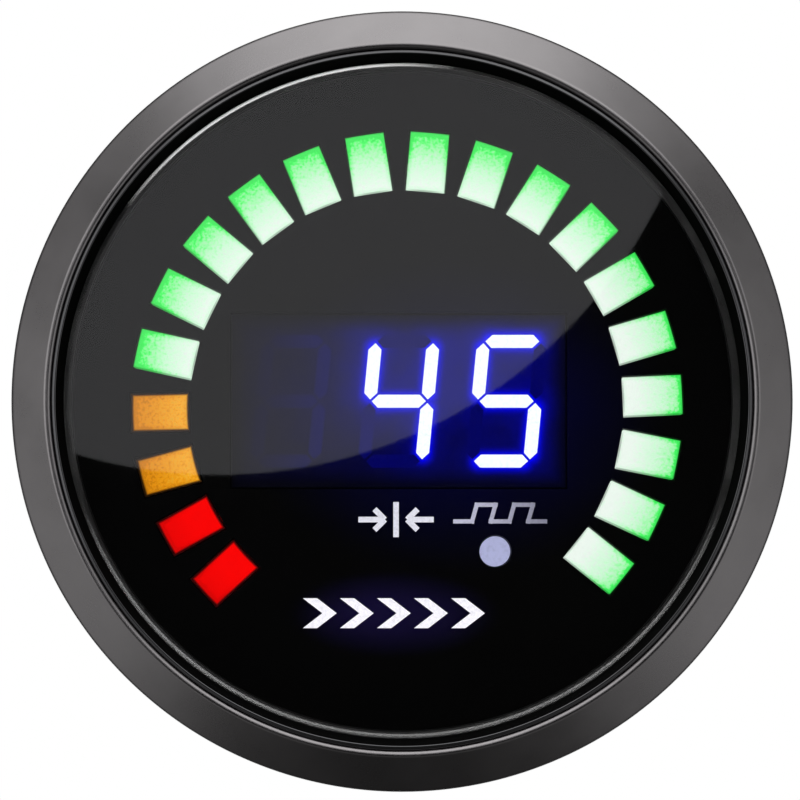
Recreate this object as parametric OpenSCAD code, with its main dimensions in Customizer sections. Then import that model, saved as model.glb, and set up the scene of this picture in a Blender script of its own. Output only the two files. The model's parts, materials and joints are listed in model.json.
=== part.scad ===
// Digital boost gauge for a 52 mm panel hole: a round face with a ring of light
// bars and a three-digit display, and the bracket that clamps it behind a panel.
// Everything is drawn facing +Z and then turned to face -Y, with +Z up. The origin
// is on the axis, in the plane where the bezel seats on the panel.

/* [Bezel] */
// Outer diameter of the metal bezel ring
bezel_d = 60; // [59:0.5:66]
// Height of the bezel's lip in front of the panel
bezel_h = 7.3; // [7.2:0.1:9]
// Height of the bezel's straight side
bezel_side_h = 4.6; // [4.2:0.1:5]
// Width of the bezel's face, from its side in to its lip
bezel_face_w = 2.9; // [2.8:0.05:3.1]
// Wall of the bezel ring
bezel_wall = 1.1; // [0.9:0.1:1.3]
// Thickness of the edge rolled in behind the front frame
bezel_roll_t = 0.8; // [0.6:0.1:1.1]

/* [Lens] */
// Width of the black ring between the bezel's lip and the raised face of the lens
lens_margin = 1.35; // [1.3:0.05:2.6]
// How far the raised face stands above the lens's rim
lens_rise = 0.9; // [0.4:0.1:1.1]
// Thickness of the lens's rim
lens_rim_t = 1; // [0.7:0.1:1.2]
// Width of the lens's rim
lens_rim_w = 0.6; // [0.4:0.05:0.7]

/* [Face] */
// Thickness of the printed face plate
face_t = 1; // [0.8:0.1:1.4]
// Thickness of the spacer ring between face plate and lens
spacer_ring_t = 0.7; // [0.5:0.1:1]
// Width of the three-digit display's window
window_w = 26; // [25:0.5:27]
// Height of the three-digit display's window
window_h = 13.6; // [12.5:0.1:14]

/* [Light bars] */
// Number of light bars in the ring
bar_count = 20; // [12:1:20]
// Number of red bars at the low end
red_count = 2; // [1:1:3]
// Number of amber bars after the red ones
amber_count = 2; // [1:1:3]
// Diameter of the ring through the middles of the bars
bar_ring_d = 38; // [37:0.1:38.6]
// Length of a bar along the radius
bar_l = 4.5; // [3.8:0.1:4.7]
// Width of a bar
bar_w = 3; // [2.4:0.1:3.2]
// Direction of the first bar, counted anticlockwise from the right
bar_first_angle = 222.6; // [220:0.1:226]
// Angle from one bar to the next
bar_pitch_angle = 13.75; // [13.5:0.05:13.8]

/* [Digits] */
// Distance from one digit to the next
digit_pitch = 8.33; // [8:0.01:8.6]
// Height of a digit between the middles of its end segments
digit_h = 9.25; // [8.6:0.05:9.6]
// Width of a digit between the middles of its side segments
digit_w = 4.45; // [4.1:0.05:4.7]
// Width of a segment
segment_w = 1; // [0.8:0.05:1.1]
// Lean of the digits
digit_lean = 5.5; // [0:0.5:8]

/* [Case] */
// How far the bezel stands out past the side of the case
bezel_overhang = 4; // [3.8:0.1:4.2]
// Depth of the case behind the panel plane
case_depth = 26; // [25.6:0.1:30]
// Wall of the case
case_wall = 1.6; // [1.4:0.1:1.8]
// Thickness of the rear cover
cover_t = 2; // [1.6:0.1:2.4]

/* [Bracket] */
// Thickness of the panel that the bracket is set for
panel_t = 5; // [4:0.5:8]
// Width of the clamp bracket's strap
strap_w = 10; // [8:0.5:11]
// Thickness of the strap
strap_t = 1.2; // [1:0.1:1.4]
// Thickness of the thinnest panel that the bracket clamps
thin_panel_t = 1.5; // [1:0.1:3]
// Distance between the two mounting studs
stud_spacing = 31; // [28:0.5:34]
// Diameter of a mounting stud
stud_d = 3.9; // [3:0.1:4]
// Length of stud behind the rear cover
stud_l = 23.5; // [23.5:0.5:30]
// Outer diameter of a thumb nut
thumb_nut_d = 11; // [9:0.5:12]
// Height of a thumb nut
thumb_nut_h = 6; // [5:0.5:6]

/* [Rear fittings] */
// Height of the hose nipple above the gauge's axis
nipple_up = 9.5; // [9:0.1:11]
// Diameter of the nipple's plain seat for the hose
nipple_d = 4.8; // [4:0.1:5]
// Length of the nipple behind its hex
nipple_l = 14; // [12:0.5:18]
// Depth of the power socket below the gauge's axis
socket_down = 10; // [9.6:0.1:11]
// Number of pins in the power socket
socket_pin_count = 4; // [2:1:4]
// Distance from one socket pin to the next
socket_pitch = 2.5; // [2.2:0.1:2.6]

/* [Hidden] */

// Clearances, the overrun of cuts and how far a part of a piece is sunk into the rest of it
fit_gap = 0.1;
running_gap = 0.05;
cut_over = 1;
join_depth = 0.1;

// The case radius that the sizes on the face and the boards are given for
drawn_case_r = 26;

// Faceting of round shapes and of rounded corners
round_fn = 96;
small_fn = 48;
pin_fn = 24;
arc_steps = 5;

// Rounding of the bezel's edges and the slope on its rolled edge
bezel_edge_round = 0.45;
bezel_lip_round = 0.3;
bezel_roll_w = 3;
bezel_foot_chamfer = 0.3;

// Front frame
frame_flange_t = 1.4;
frame_rim_wall = 1.3;
frame_spigot_l = 4.8;
frame_spigot_wall = 1.1;

// Retainer ring, lens gasket and lens edge
retainer_crown_gap = 0.25;
retainer_crown_drop = 0.55;
retainer_bead_r = 0.25;
retainer_bead_rise = 0.35;
retainer_shoulder_gap = 0.2;
retainer_lip_t = 0.5;
lens_edge_round = 0.3;
gasket_t = 0.3;
gasket_w = 0.9;
spacer_ring_inset = 0.4;

// Where the ring of bars sits on the face
bar_ring_side = 0.35;
bar_ring_drop = 0.45;
bar_lens_h = 2.8;
bar_lens_inset = 0.08;

// Display module and its digits
digit_count = 3;
display_side = -0.25;
display_margin = 0.3;
segment_gap = 0.14;
segment_t = 0.35;
segment_proud = 0.1;
filter_t = 0.6;
lit_digits = ["", "fgbc", "afgcd"];
segment_names = ["a", "b", "c", "d", "e", "f", "g"];
display_pin_r = 0.25;
display_pin_l = 3;
display_pin_count = 6;
display_pin_inset = 1.5;

// Indicator window, placed from the gauge's axis
indicator_d = 2.32;
indicator_x = 7.17;
indicator_y = -11.59;

// Marks on the face
mark_t = 0.2;
mark_gap = 0.03;
boost_mark_count = 5;
boost_mark_pitch = 2.85;
boost_mark_w = 2.6;
boost_mark_h = 2.3;
boost_mark_thick = 1.1;
boost_mark_x = -0.63;
boost_mark_y = -16.35;
pressure_mark_w = 5.8;
pressure_mark_h = 2.7;
pressure_mark_stroke = 0.43;
pressure_mark_head = 0.8;
pressure_mark_x = -0.46;
pressure_mark_y = -9.15;
voltage_mark_w = 7.2;
voltage_mark_h = 1.6;
voltage_mark_stroke = 0.32;
voltage_mark_x = 7.7;
voltage_mark_y = -8.65;

// Circuit boards and what joins them
board_t = 1.6;
board_gap = 8;
rear_bay_l = 9.4;
board_margin = 0.2;
light_housing_gap = 0.1;
light_housing_margin = 0.1;
well_gap = 0.1;
spacer_place_shares = [[-0.36, 0.42], [0.36, 0.42], [-0.36, -0.45], [0.455, -0.38]];
spacer_flats = 3.6;
spacer_stud_l = 4;
board_screw_r = 1;
board_screw_head_r = 1.75;
board_screw_head_h = 1.4;
board_screw_l = 4;
spacer_nut_flats = 4;
spacer_nut_h = 1.6;

// Parts on the boards, with their places as shares of the boards' radius
led_size = [2, 1.2, 0.8];
boost_led_spacing = 7.2;
driver_size = [10, 4, 1.6];
driver_place_shares = [[-0.256, 0], [0.223, 0]];
driver_lead_count = 7;
lead_size = [0.4, 1, 0.3];
lead_pitch = 1.27;
resistor_size = [2, 1.25, 0.5];
resistor_pitch = 3.2;
resistor_count = 4;
resistor_row_shares = [-0.38, 0.4, 0.5];
header_place_share = 0.64;
header_pin_count = 8;
header_pitch = 2.54;
header_w = 2.5;
header_base_h = 2.5;
header_pin_w = 0.64;
chip_size = [9, 9, 1.4];
chip_place_share = [-0.33, 0.06];
chip_lead_count = 8;
chip_lead_pitch = 1;
crystal_size = [10.5, 4, 3.4];
crystal_place_share = [0.2, 0.2];
capacitor_r = 3.15;
capacitor_h = 6.2;
capacitor_groove = 0.25;
capacitor_groove_z = 1.3;
capacitor_place_shares = [[-0.71, -0.33], [0.71, -0.33]];
regulator_size = [6.6, 6.1, 2.3];
regulator_tab = [5.2, 2, 0.6];
regulator_place_share = [0.62, 0.25];
sensor_size = [11, 11, 4.6];
sensor_port_r = 1.5;
sensor_port_l = 1.2;
sensor_tube_wall = 0.9;
sensor_stub_gap = 0.3;

// Case and rear cover
cover_inset = 0.3;
cover_chamfer = 0.5;
cover_plug_l = 1.5;
cover_plug_wall = 1.2;
column_r = 2.9;
column_inset = 2.4;
column_angles = [45, 135, 225, 315];
cover_screw_r = 1;
cover_screw_head_r = 1.9;
cover_screw_head_h = 1.4;
cover_screw_l = 7;
cover_screw_slot_w = 0.5;
cover_screw_slot_depth = 0.6;

// Hose nipple
nipple_bore_r = 0.9;
nipple_thread_r = 2.9;
nipple_hex_flats = 8;
nipple_hex_h = 2.6;
nipple_seat_l = 4;
nipple_barb_count = 3;
nipple_barb_lead_share = 0.3;
nipple_neck_inset = 0.5;
nipple_nut_h = 2.2;
nipple_seal_t = 0.6;
nipple_seal_r = 4.2;

// Power socket
socket_wall = 0.8;
socket_side = 1.45;
socket_h = 6.2;
socket_out = 2.5;
socket_cavity = 9.5;
socket_pin_w = 0.64;
socket_pin_l = 5;
socket_key_w = 3;
socket_key_depth = 4;

// Studs, nuts and bracket
stud_head_flats = 7;
stud_head_h = 2.5;
stud_nut_h = 3.2;
stud_nut_flats = 7;
lock_washer_t = 0.6;
lock_washer_r = 3.6;
hole_gap = 0.3;
strap_bend_r = 1.5;
strap_side_gap = 1.2;
strap_nut_gap = 0.7;
foot_margin = 0.2;
washer_t = 0.8;
washer_r = 4.5;
thumb_nut_hub_r = 3.6;
thumb_nut_hub_h = 2;
thread_gap = 0.08;
flute_count = 30;
flute_depth_share = 0.05;
flute_points = 4;

// Radii
bezel_r = bezel_d / 2;
opening_r = bezel_r - bezel_face_w;
frame_r = bezel_r - bezel_wall - fit_gap;
frame_bore_r = frame_r - frame_rim_wall;
stack_r = frame_bore_r - fit_gap;
lens_r = opening_r - lens_margin;
lens_rim_r = lens_r + lens_rim_w;
case_r = bezel_r - bezel_overhang;
case_bore_r = case_r - case_wall;
spigot_r = case_bore_r - fit_gap;
frame_throat_r = spigot_r - frame_spigot_wall;
board_r = case_bore_r - board_margin;
stud_r = stud_d / 2;
nipple_r = nipple_d / 2;

// The face, the boards and the rear fittings' places follow the case in proportion
face_share = case_r / drawn_case_r;
bar_ring_r = fitted(bar_ring_d / 2);
indicator_r = fitted(indicator_d / 2);
column_fit_r = fitted(column_r);
column_circle_r = case_bore_r - fitted(column_inset);
screw_fit_r = fitted(board_screw_r);
screw_head_fit_r = fitted(board_screw_head_r);
stud_x = fitted(stud_spacing / 2);
nipple_y = fitted(nipple_up);
socket_y = -fitted(socket_down);

// Widths and heights of the wells and of the display
bar_size = fitted([bar_l, bar_w]);
bar_well = grown(bar_size, well_gap);
window_size = fitted([window_w, window_h]);
display_size = grown(window_size, display_margin);
display_pin_row_y = window_size[1] / 2 - display_pin_inset;

// Places on the boards
spacer_places = board_r * spacer_place_shares;
driver_places = board_r * driver_place_shares;
capacitor_places = board_r * capacitor_place_shares;
legend_led_places = fitted([[indicator_x, indicator_y], [pressure_mark_x, pressure_mark_y],
    for (side = [-1, 1]) [boost_mark_x + side * boost_led_spacing / 2, boost_mark_y]]);

// Heights along the axis, from the panel plane, positive to the front
flange_z = bezel_roll_t;
face_back_z = flange_z + frame_flange_t;
face_front_z = face_back_z + face_t;
spacer_ring_z = face_front_z + spacer_ring_t;
lens_back_z = spacer_ring_z + gasket_t;
lens_rim_z = lens_back_z + lens_rim_t;
lens_front_z = lens_rim_z + lens_rise;
crown_z = bezel_h - retainer_crown_drop;
housing_front_z = face_back_z - light_housing_gap;
case_back_z = -case_depth;
main_board_back_z = case_back_z + rear_bay_l;
main_board_z = main_board_back_z + board_t;
display_board_back_z = main_board_z + board_gap;
display_board_z = display_board_back_z + board_t;
cover_back_z = case_back_z - cover_t;
display_front_z = face_front_z - filter_t - 2 * segment_proud;
stud_nut_z = cover_back_z - lock_washer_t;
stud_nut_back_z = stud_nut_z - stud_nut_h;
foot_z = -panel_t;
crossbar_z = foot_z + thin_panel_t + stud_nut_back_z - strap_nut_gap;
crossbar_back_z = crossbar_z - strap_t;
washer_back_z = crossbar_back_z - washer_t;
stud_end_z = cover_back_z - stud_l;
nipple_hex_z = cover_back_z - nipple_seal_t;
nipple_hex_back_z = nipple_hex_z - nipple_hex_h;
socket_size = fitted([(socket_pin_count - 1) * socket_pitch + 2 * (socket_side + socket_wall),
    socket_h]);
socket_end_z = cover_back_z - socket_out;
sensor_back_z = main_board_back_z - sensor_size[2];
sensor_port_z = sensor_back_z - sensor_port_l;
nipple_inner_z = case_back_z + nipple_nut_h + fit_gap;

// The bezel's sloping face is the tangent to its two rounded edges
edge_centre = [bezel_r - bezel_edge_round, bezel_side_h];
lip_centre = [opening_r + bezel_lip_round, bezel_h - bezel_lip_round];
slope = lip_centre - edge_centre;
slope_normal = atan2(slope[1], slope[0]) - acos((bezel_edge_round - bezel_lip_round) / norm(slope));
slope_out = [cos(slope_normal), sin(slope_normal)];
frame_rim_z = bezel_inner_z(frame_r) - fit_gap;

// Height of the bezel's inner face under its slope, one wall in from the outside
function bezel_inner_z(r) = let (p = edge_centre + (bezel_edge_round - bezel_wall) * slope_out)
    p[1] - (r - p[0]) * slope_out[0] / slope_out[1];

// Points on an arc about c, from one angle to another
function arc(c, r, from, to) = [for (i = [0:arc_steps])
    let (a = from + (to - from) * i / arc_steps) c + r * [cos(a), sin(a)]];

// A flat point leaned over as the digits lean
function leaned(p) = [p[0] + p[1] * tan(digit_lean), p[1]];

// A length or a place in the plan, in proportion to the case, and a block with such a plan
function fitted(x) = face_share * x;
function fitted_block(size) = [fitted(size[0]), fitted(size[1]), size[2]];

// A width and height grown on every side
function grown(size, by) = [size[0] + 2 * by, size[1] + 2 * by];

// Direction of bar number i
function bar_angle(i) = bar_first_angle - i * bar_pitch_angle;

// Turns what is drawn facing +Z to face -Y
module place() rotate([90, 0, 0]) children();

// A solid turned about the axis from a profile of [radius, height] points
module turned(profile, fn = round_fn) rotate_extrude($fn = fn) polygon(profile);

// A ring between two radii and two heights
module ring(outer_r, inner_r, low, high, fn = round_fn)
    difference() {
        rod(outer_r, low, high, fn);
        rod_hole(inner_r, low, high, fn);
    }

// A round rod between two heights
module rod(r, low, high, fn = small_fn) translate([0, 0, low]) cylinder(r = r, h = high - low, $fn = fn);

// A round or square hole's shape, run past both heights
module rod_hole(r, low, high, fn = small_fn) rod(r, low - cut_over, high + cut_over, fn);
module block_hole(size, low, high) block(size, low - cut_over, high + cut_over);

// A hexagonal rod between two heights, by its width across flats
module hex_rod(flats, low, high) rod(flats / 2 / cos(30), low, high, fn = 6);

// A block centred on the axis between two heights
module block(size, low, high)
    translate([-size[0] / 2, -size[1] / 2, low]) cube([size[0], size[1], high - low]);

// A flat bar of the given width between two points
module flat_bar(from, to, width) {
    run = to - from;
    translate(from) rotate(atan2(run[1], run[0])) translate([0, -width / 2]) square([norm(run), width]);
}

// Copies of a child at the given places
module at_each(places) for (p = places) translate([p[0], p[1], 0]) children();

// Copies of a child on the mounting studs
module on_studs() at_each([[-stud_x, 0], [stud_x, 0]]) children();

// Copies of a child on the four columns of the case
module on_columns() for (a = column_angles) rotate(a) translate([column_circle_r, 0, 0]) children();

// A child at the display or at the indicator window
module at_display() translate([fitted(display_side), 0, 0]) children();
module at_indicator() at_each([fitted([indicator_x, indicator_y])]) children();

// Copies of a child on the display's pins
module on_display_pins() at_display() for (side = [-1, 1], i = [0:display_pin_count - 1])
    translate([(i - (display_pin_count - 1) / 2) * fitted(header_pitch), side * display_pin_row_y, 0])
        children();

// Copies of a child on the light bars numbered first to last
module on_bars(first, last)
    at_each([fitted([bar_ring_side, -bar_ring_drop])])
        for (i = [first:last]) rotate(bar_angle(i)) translate([bar_ring_r, 0, 0]) children();

module bezel_ring() color([0.33, 0.32, 0.32]) turned(concat(
    [[bezel_r - bezel_roll_w, 0], [bezel_r - bezel_foot_chamfer, 0], [bezel_r, bezel_foot_chamfer]],
    arc(edge_centre, bezel_edge_round, 0, slope_normal),
    arc(lip_centre, bezel_lip_round, slope_normal, 180),
    [[opening_r, bezel_inner_z(opening_r)], [frame_r + fit_gap, bezel_inner_z(frame_r + fit_gap)],
     [frame_r + fit_gap, bezel_roll_t], [bezel_r - bezel_roll_w, bezel_roll_t]]));

// The shoulder under the bezel's lip, the bead round the crown and the slope to the lens
module retainer_ring() {
    crown_r = opening_r - retainer_crown_gap;
    bead = [crown_r - retainer_bead_r, crown_z - retainer_bead_r];
    color([0.03, 0.03, 0.03]) turned(concat(
        [[lens_rim_r + fit_gap, spacer_ring_z], [stack_r, spacer_ring_z],
         [stack_r, bezel_inner_z(stack_r) - retainer_shoulder_gap],
         [crown_r, bezel_inner_z(crown_r) - retainer_shoulder_gap]],
        arc(bead, retainer_bead_r, 0, 180),
        [[bead[0] - retainer_bead_r, crown_z - retainer_bead_rise],
         [lens_r + fit_gap, lens_rim_z + retainer_lip_t],
         [lens_r + fit_gap, lens_rim_z + fit_gap / 2],
         [lens_rim_r + fit_gap, lens_rim_z + fit_gap / 2]]));
}

module lens() {
    edge = [lens_r - lens_edge_round, lens_front_z - lens_edge_round];
    color([0.75, 0.8, 0.85, 0.3]) turned(concat(
        [[0, lens_back_z], [lens_rim_r, lens_back_z], [lens_rim_r, lens_rim_z], [lens_r, lens_rim_z]],
        arc(edge, lens_edge_round, 0, 90),
        [[0, lens_front_z]]));
}

module lens_gasket() color([0.05, 0.05, 0.05])
    ring(lens_rim_r, lens_rim_r - gasket_w, spacer_ring_z, lens_back_z);

module spacer_ring() color([0.02, 0.02, 0.02])
    ring(stack_r, lens_r - spacer_ring_inset, face_front_z, spacer_ring_z);

// The row of chevrons along the foot of the face
module boost_mark_shape(grow = 0) {
    first_x = boost_mark_x - (boost_mark_count - 1) / 2 * boost_mark_pitch;
    point_x = (boost_mark_w - boost_mark_thick) / 2;
    half = boost_mark_thick / 2 + grow;
    end_y = boost_mark_h / 2 + grow;
    for (i = [0:boost_mark_count - 1])
        translate([first_x + i * boost_mark_pitch, boost_mark_y])
            polygon([[-point_x - half, end_y], [-point_x + half, end_y], [point_x + half, 0],
                     [-point_x + half, -end_y], [-point_x - half, -end_y], [point_x - half, 0]]);
}

// Two arrows that press on a line
module pressure_mark_shape(grow = 0) {
    stroke = pressure_mark_stroke + 2 * grow;
    gap = 2 * pressure_mark_stroke;
    translate([pressure_mark_x, pressure_mark_y]) {
        flat_bar([0, -pressure_mark_h / 2 - grow], [0, pressure_mark_h / 2 + grow], stroke);
        for (side = [-1, 1]) {
            tip = [side * gap, 0];
            flat_bar(tip, [side * (pressure_mark_w / 2 + grow), 0], stroke);
            for (up = [-1, 1])
                flat_bar(tip, tip + pressure_mark_head * [side, up], stroke);
        }
    }
}

// A leaning pulse wave
module voltage_mark_shape(grow = 0) {
    stroke = voltage_mark_stroke + 2 * grow;
    high = (voltage_mark_h - voltage_mark_stroke) / 2;
    wave_shares = [[-0.5, -1], [-0.32, -1], [-0.27, 1], [-0.07, 1], [-0.12, -1],
        [0.08, -1], [0.13, 1], [0.33, 1], [0.28, -1], [0.46, -1]];
    points = [for (s = wave_shares) [s[0] * voltage_mark_w, s[1] * high]];
    translate([voltage_mark_x, voltage_mark_y])
        for (i = [1:len(points) - 1]) {
            run = points[i] - points[i - 1];
            reach = run / norm(run) * stroke / 2;
            flat_bar(points[i - 1] - reach, points[i] + reach, stroke);
        }
}

// A flat shape sunk flush into the front of the face plate
module mark(over = 0)
    translate([0, 0, face_front_z - mark_t]) linear_extrude(mark_t + over) scale(face_share) children();

module boost_marks() color([0.95, 0.94, 1]) mark() boost_mark_shape();

module pressure_marks() color([0.88, 0.88, 0.96]) mark() pressure_mark_shape();

module voltage_marks() color([0.55, 0.55, 0.65]) mark() voltage_mark_shape();

// The dark plate with a window for each bar, the display and the indicator
module face_plate() color([0.02, 0.02, 0.025]) difference() {
    rod(stack_r, face_back_z, face_front_z, fn = round_fn);
    on_bars(0, bar_count - 1) block_hole(bar_well, face_back_z, face_front_z);
    at_display() block_hole(window_size, face_back_z, face_front_z);
    at_indicator() rod_hole(indicator_r + well_gap, face_back_z, face_front_z);
    mark(cut_over) boost_mark_shape(mark_gap);
    mark(cut_over) pressure_mark_shape(mark_gap);
    mark(cut_over) voltage_mark_shape(mark_gap);
}

// The tinted pane in the display's window
module display_filter() color([0.05, 0.05, 0.2, 0.5]) at_display()
    block(grown(window_size, -well_gap), face_front_z - filter_t, face_front_z);

module bar_windows(first, last)
    on_bars(first, last)
        block(bar_size, face_front_z - bar_lens_inset - bar_lens_h, face_front_z - bar_lens_inset);

module red_windows() color([1, 0, 0]) bar_windows(0, red_count - 1);

module amber_windows() color([0.95, 0.65, 0.15]) bar_windows(red_count, red_count + amber_count - 1);

module green_windows() color([0.4, 1, 0.5]) bar_windows(red_count + amber_count, bar_count - 1);

module indicator_window() color([0.75, 0.77, 0.88]) at_indicator()
    rod(indicator_r, face_front_z - bar_lens_inset - bar_lens_h, face_front_z - bar_lens_inset);

// The flange behind the face plate, the rim that the bezel grips and the spigot in the case
module front_frame() color([0.04, 0.04, 0.04]) turned([
    [frame_throat_r, flange_z - frame_spigot_l], [spigot_r, flange_z - frame_spigot_l],
    [spigot_r, flange_z], [frame_r, flange_z],
    [frame_r, frame_rim_z], [frame_bore_r, frame_rim_z],
    [frame_bore_r, face_back_z], [frame_throat_r, face_back_z]]);

// The black block that keeps the light of each bar apart
module light_housing() color([0.06, 0.06, 0.06]) difference() {
    rod(frame_throat_r - light_housing_margin, display_board_z, housing_front_z, fn = round_fn);
    on_bars(0, bar_count - 1) block_hole(bar_well, display_board_z, housing_front_z);
    at_display() block_hole(grown(display_size, well_gap), display_board_z, housing_front_z);
    at_indicator() rod_hole(indicator_r + well_gap, display_board_z, housing_front_z);
    at_each([fitted([boost_mark_x, boost_mark_y])])
        block_hole(fitted([boost_mark_count * boost_mark_pitch, boost_mark_h]),
            display_board_z, housing_front_z);
    at_each([fitted([pressure_mark_x, pressure_mark_y])])
        block_hole([fitted(pressure_mark_w), led_size[1] + 2 * well_gap],
            display_board_z, housing_front_z);
    at_each(spacer_places)
        rod(screw_head_fit_r + well_gap, display_board_z - cut_over,
            display_board_z + board_screw_head_h + well_gap);
}

// Outline of one segment of a digit, named a to g
function segment_across(y) = let (x = digit_w / 2 - segment_gap, w = segment_w / 2)
    [[-x, y], [w - x, y + w], [x - w, y + w], [x, y], [x - w, y - w], [w - x, y - w]];
function segment_upright(x, low, high) = let (w = segment_w / 2)
    [[x, low], [x + w, low + w], [x + w, high - w], [x, high], [x - w, high - w], [x - w, low + w]];
function segment_outline(name) =
    name == "a" ? segment_across(digit_h / 2) :
    name == "d" ? segment_across(-digit_h / 2) :
    name == "g" ? segment_across(0) :
    let (side = name == "b" || name == "c" ? 1 : -1, upper = name == "b" || name == "f")
        segment_upright(side * digit_w / 2, upper ? segment_gap : segment_gap - digit_h / 2,
            upper ? digit_h / 2 - segment_gap : -segment_gap);

// The segments of every digit that are lit, or those that are not
module segments(lit)
    at_display() scale(face_share)
        for (i = [0:digit_count - 1], name = segment_names)
            if ((len(search(name, lit_digits[i])) > 0) == lit)
                translate([(i - (digit_count - 1) / 2) * digit_pitch, 0])
                    polygon([for (p = segment_outline(name)) leaned(p)]);

module segment_inlay(lit) translate([0, 0, display_front_z - segment_t + segment_proud])
    linear_extrude(segment_t) segments(lit);

module lit_segments() color([0.85, 0.95, 1]) segment_inlay(true);

module unlit_segments() color([0.08, 0.08, 0.2]) segment_inlay(false);

// The display module, stepped to pass through the face plate's window
module digit_display() color([0.02, 0.02, 0.08]) difference() {
    at_display() {
        block(display_size, display_board_z, housing_front_z);
        block(grown(window_size, -well_gap), display_board_z, display_front_z);
    }
    for (lit = [true, false])
        translate([0, 0, display_front_z - segment_t + segment_proud])
            linear_extrude(segment_t + cut_over) segments(lit);
}

module display_pins() color([0.8, 0.8, 0.75]) on_display_pins()
    rod(display_pin_r, display_board_z - display_pin_l, display_board_z, fn = pin_fn);

// A round board with holes for the spacers' screws or studs
module board(back, front) difference() {
    rod(board_r, back, front, fn = round_fn);
    at_each(spacer_places) rod_hole(screw_fit_r + fit_gap, back, front);
    children();
}

module display_board() color([0.05, 0.3, 0.12]) board(display_board_back_z, display_board_z)
    on_display_pins()
        rod_hole(display_pin_r + fit_gap, display_board_back_z, display_board_z, fn = pin_fn);

module main_board() color([0.05, 0.3, 0.12]) board(main_board_back_z, main_board_z);

module bar_leds() color([0.95, 0.95, 0.85]) on_bars(0, bar_count - 1)
    block(led_size, display_board_z, display_board_z + led_size[2]);

module legend_leds() color([0.95, 0.95, 0.9]) at_each(legend_led_places)
    block([led_size[1], led_size[1]], display_board_z, display_board_z + led_size[2]);

// A chip with leads along both long sides, lying against a board at the given height
module chip(size, leads, pitch) {
    block(size, -size[2], 0);
    lead = fitted_block(lead_size) + [0, join_depth, 0];
    lead_y = (size[1] + lead[1]) / 2 - join_depth;
    for (side = [-1, 1], i = [0:leads - 1])
        translate([(i - (leads - 1) / 2) * pitch, side * lead_y, 0])
            block(lead, -lead[2], 0);
}

module driver_chips() color([0.1, 0.1, 0.1]) translate([0, 0, display_board_back_z])
    at_each(driver_places) chip(fitted_block(driver_size), driver_lead_count, fitted(lead_pitch));

module chip_resistors() color([0.15, 0.15, 0.18])
    for (share = resistor_row_shares, i = [0:resistor_count - 1])
        translate([(i - (resistor_count - 1) / 2) * fitted(resistor_pitch), share * board_r, 0])
            block(fitted_block(resistor_size), display_board_back_z - resistor_size[2],
                display_board_back_z);

module board_screws() color([0.75, 0.75, 0.78]) at_each(spacer_places) {
    rod(screw_head_fit_r, display_board_z, display_board_z + board_screw_head_h);
    rod(screw_fit_r, display_board_z - board_screw_l, display_board_z);
}

module board_spacers() color([0.8, 0.65, 0.3]) at_each(spacer_places) difference() {
    union() {
        hex_rod(fitted(spacer_flats), main_board_z, display_board_back_z);
        rod(screw_fit_r, main_board_z - spacer_stud_l, main_board_z + fit_gap);
    }
    rod(screw_fit_r + running_gap, display_board_z - board_screw_l - fit_gap,
        display_board_back_z + cut_over);
}

module spacer_nuts() color([0.8, 0.65, 0.3]) at_each(spacer_places) difference() {
    hex_rod(fitted(spacer_nut_flats), main_board_back_z - spacer_nut_h, main_board_back_z);
    rod_hole(screw_fit_r + running_gap, main_board_back_z - spacer_nut_h, main_board_back_z);
}

// The strip of pins that joins the two boards
module pin_header() color([0.08, 0.08, 0.08]) translate([board_r * header_place_share, 0, 0]) {
    strip = fitted([header_w, header_pin_count * header_pitch]);
    block(strip, main_board_z, main_board_z + header_base_h);
    block(strip, display_board_back_z - header_base_h, display_board_back_z);
    for (i = [0:header_pin_count - 1])
        translate([0, (i - (header_pin_count - 1) / 2) * fitted(header_pitch), 0])
            block([header_pin_w, header_pin_w], main_board_z, display_board_back_z);
}

module microcontroller() color([0.08, 0.08, 0.09])
    at_each([board_r * chip_place_share]) translate([0, 0, main_board_z]) mirror([0, 0, 1])
        for (turn = [0, 90])
            rotate(turn) chip(fitted_block(chip_size), chip_lead_count, fitted(chip_lead_pitch));

module crystal() color([0.8, 0.8, 0.82]) at_each([board_r * crystal_place_share])
    block(fitted_block(crystal_size), main_board_z, main_board_z + crystal_size[2]);

module filter_capacitors() color([0.12, 0.12, 0.3]) at_each(capacitor_places) {
    r = fitted(capacitor_r);
    translate([0, 0, main_board_back_z]) mirror([0, 0, 1]) turned([
        [0, 0], [r, 0], [r, capacitor_groove_z - capacitor_groove],
        [r - capacitor_groove, capacitor_groove_z], [r, capacitor_groove_z + capacitor_groove],
        [r, capacitor_h], [0, capacitor_h]], fn = small_fn);
}

module voltage_regulator() color([0.12, 0.12, 0.12]) at_each([board_r * regulator_place_share]) {
    block(fitted_block(regulator_size), main_board_back_z - regulator_size[2], main_board_back_z);
    tab = fitted_block(regulator_tab) + [0, join_depth, 0];
    translate([0, (fitted(regulator_size[1]) + tab[1]) / 2 - join_depth, 0])
        block(tab, main_board_back_z - tab[2], main_board_back_z);
}

module pressure_sensor() color([0.1, 0.1, 0.11]) translate([0, nipple_y, 0]) difference() {
    union() {
        block(fitted_block(sensor_size), sensor_back_z, main_board_back_z);
        rod(sensor_port_r, sensor_port_z, sensor_back_z + fit_gap);
    }
    rod(nipple_bore_r, sensor_port_z - cut_over, sensor_back_z);
}

// The short tube between the sensor's port and the nipple
module sensor_tube() color([0.6, 0.6, 0.6]) translate([0, nipple_y, 0])
    ring(sensor_port_r + running_gap + sensor_tube_wall, sensor_port_r + running_gap,
        nipple_inner_z + fit_gap, sensor_back_z - fit_gap, fn = small_fn);

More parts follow.
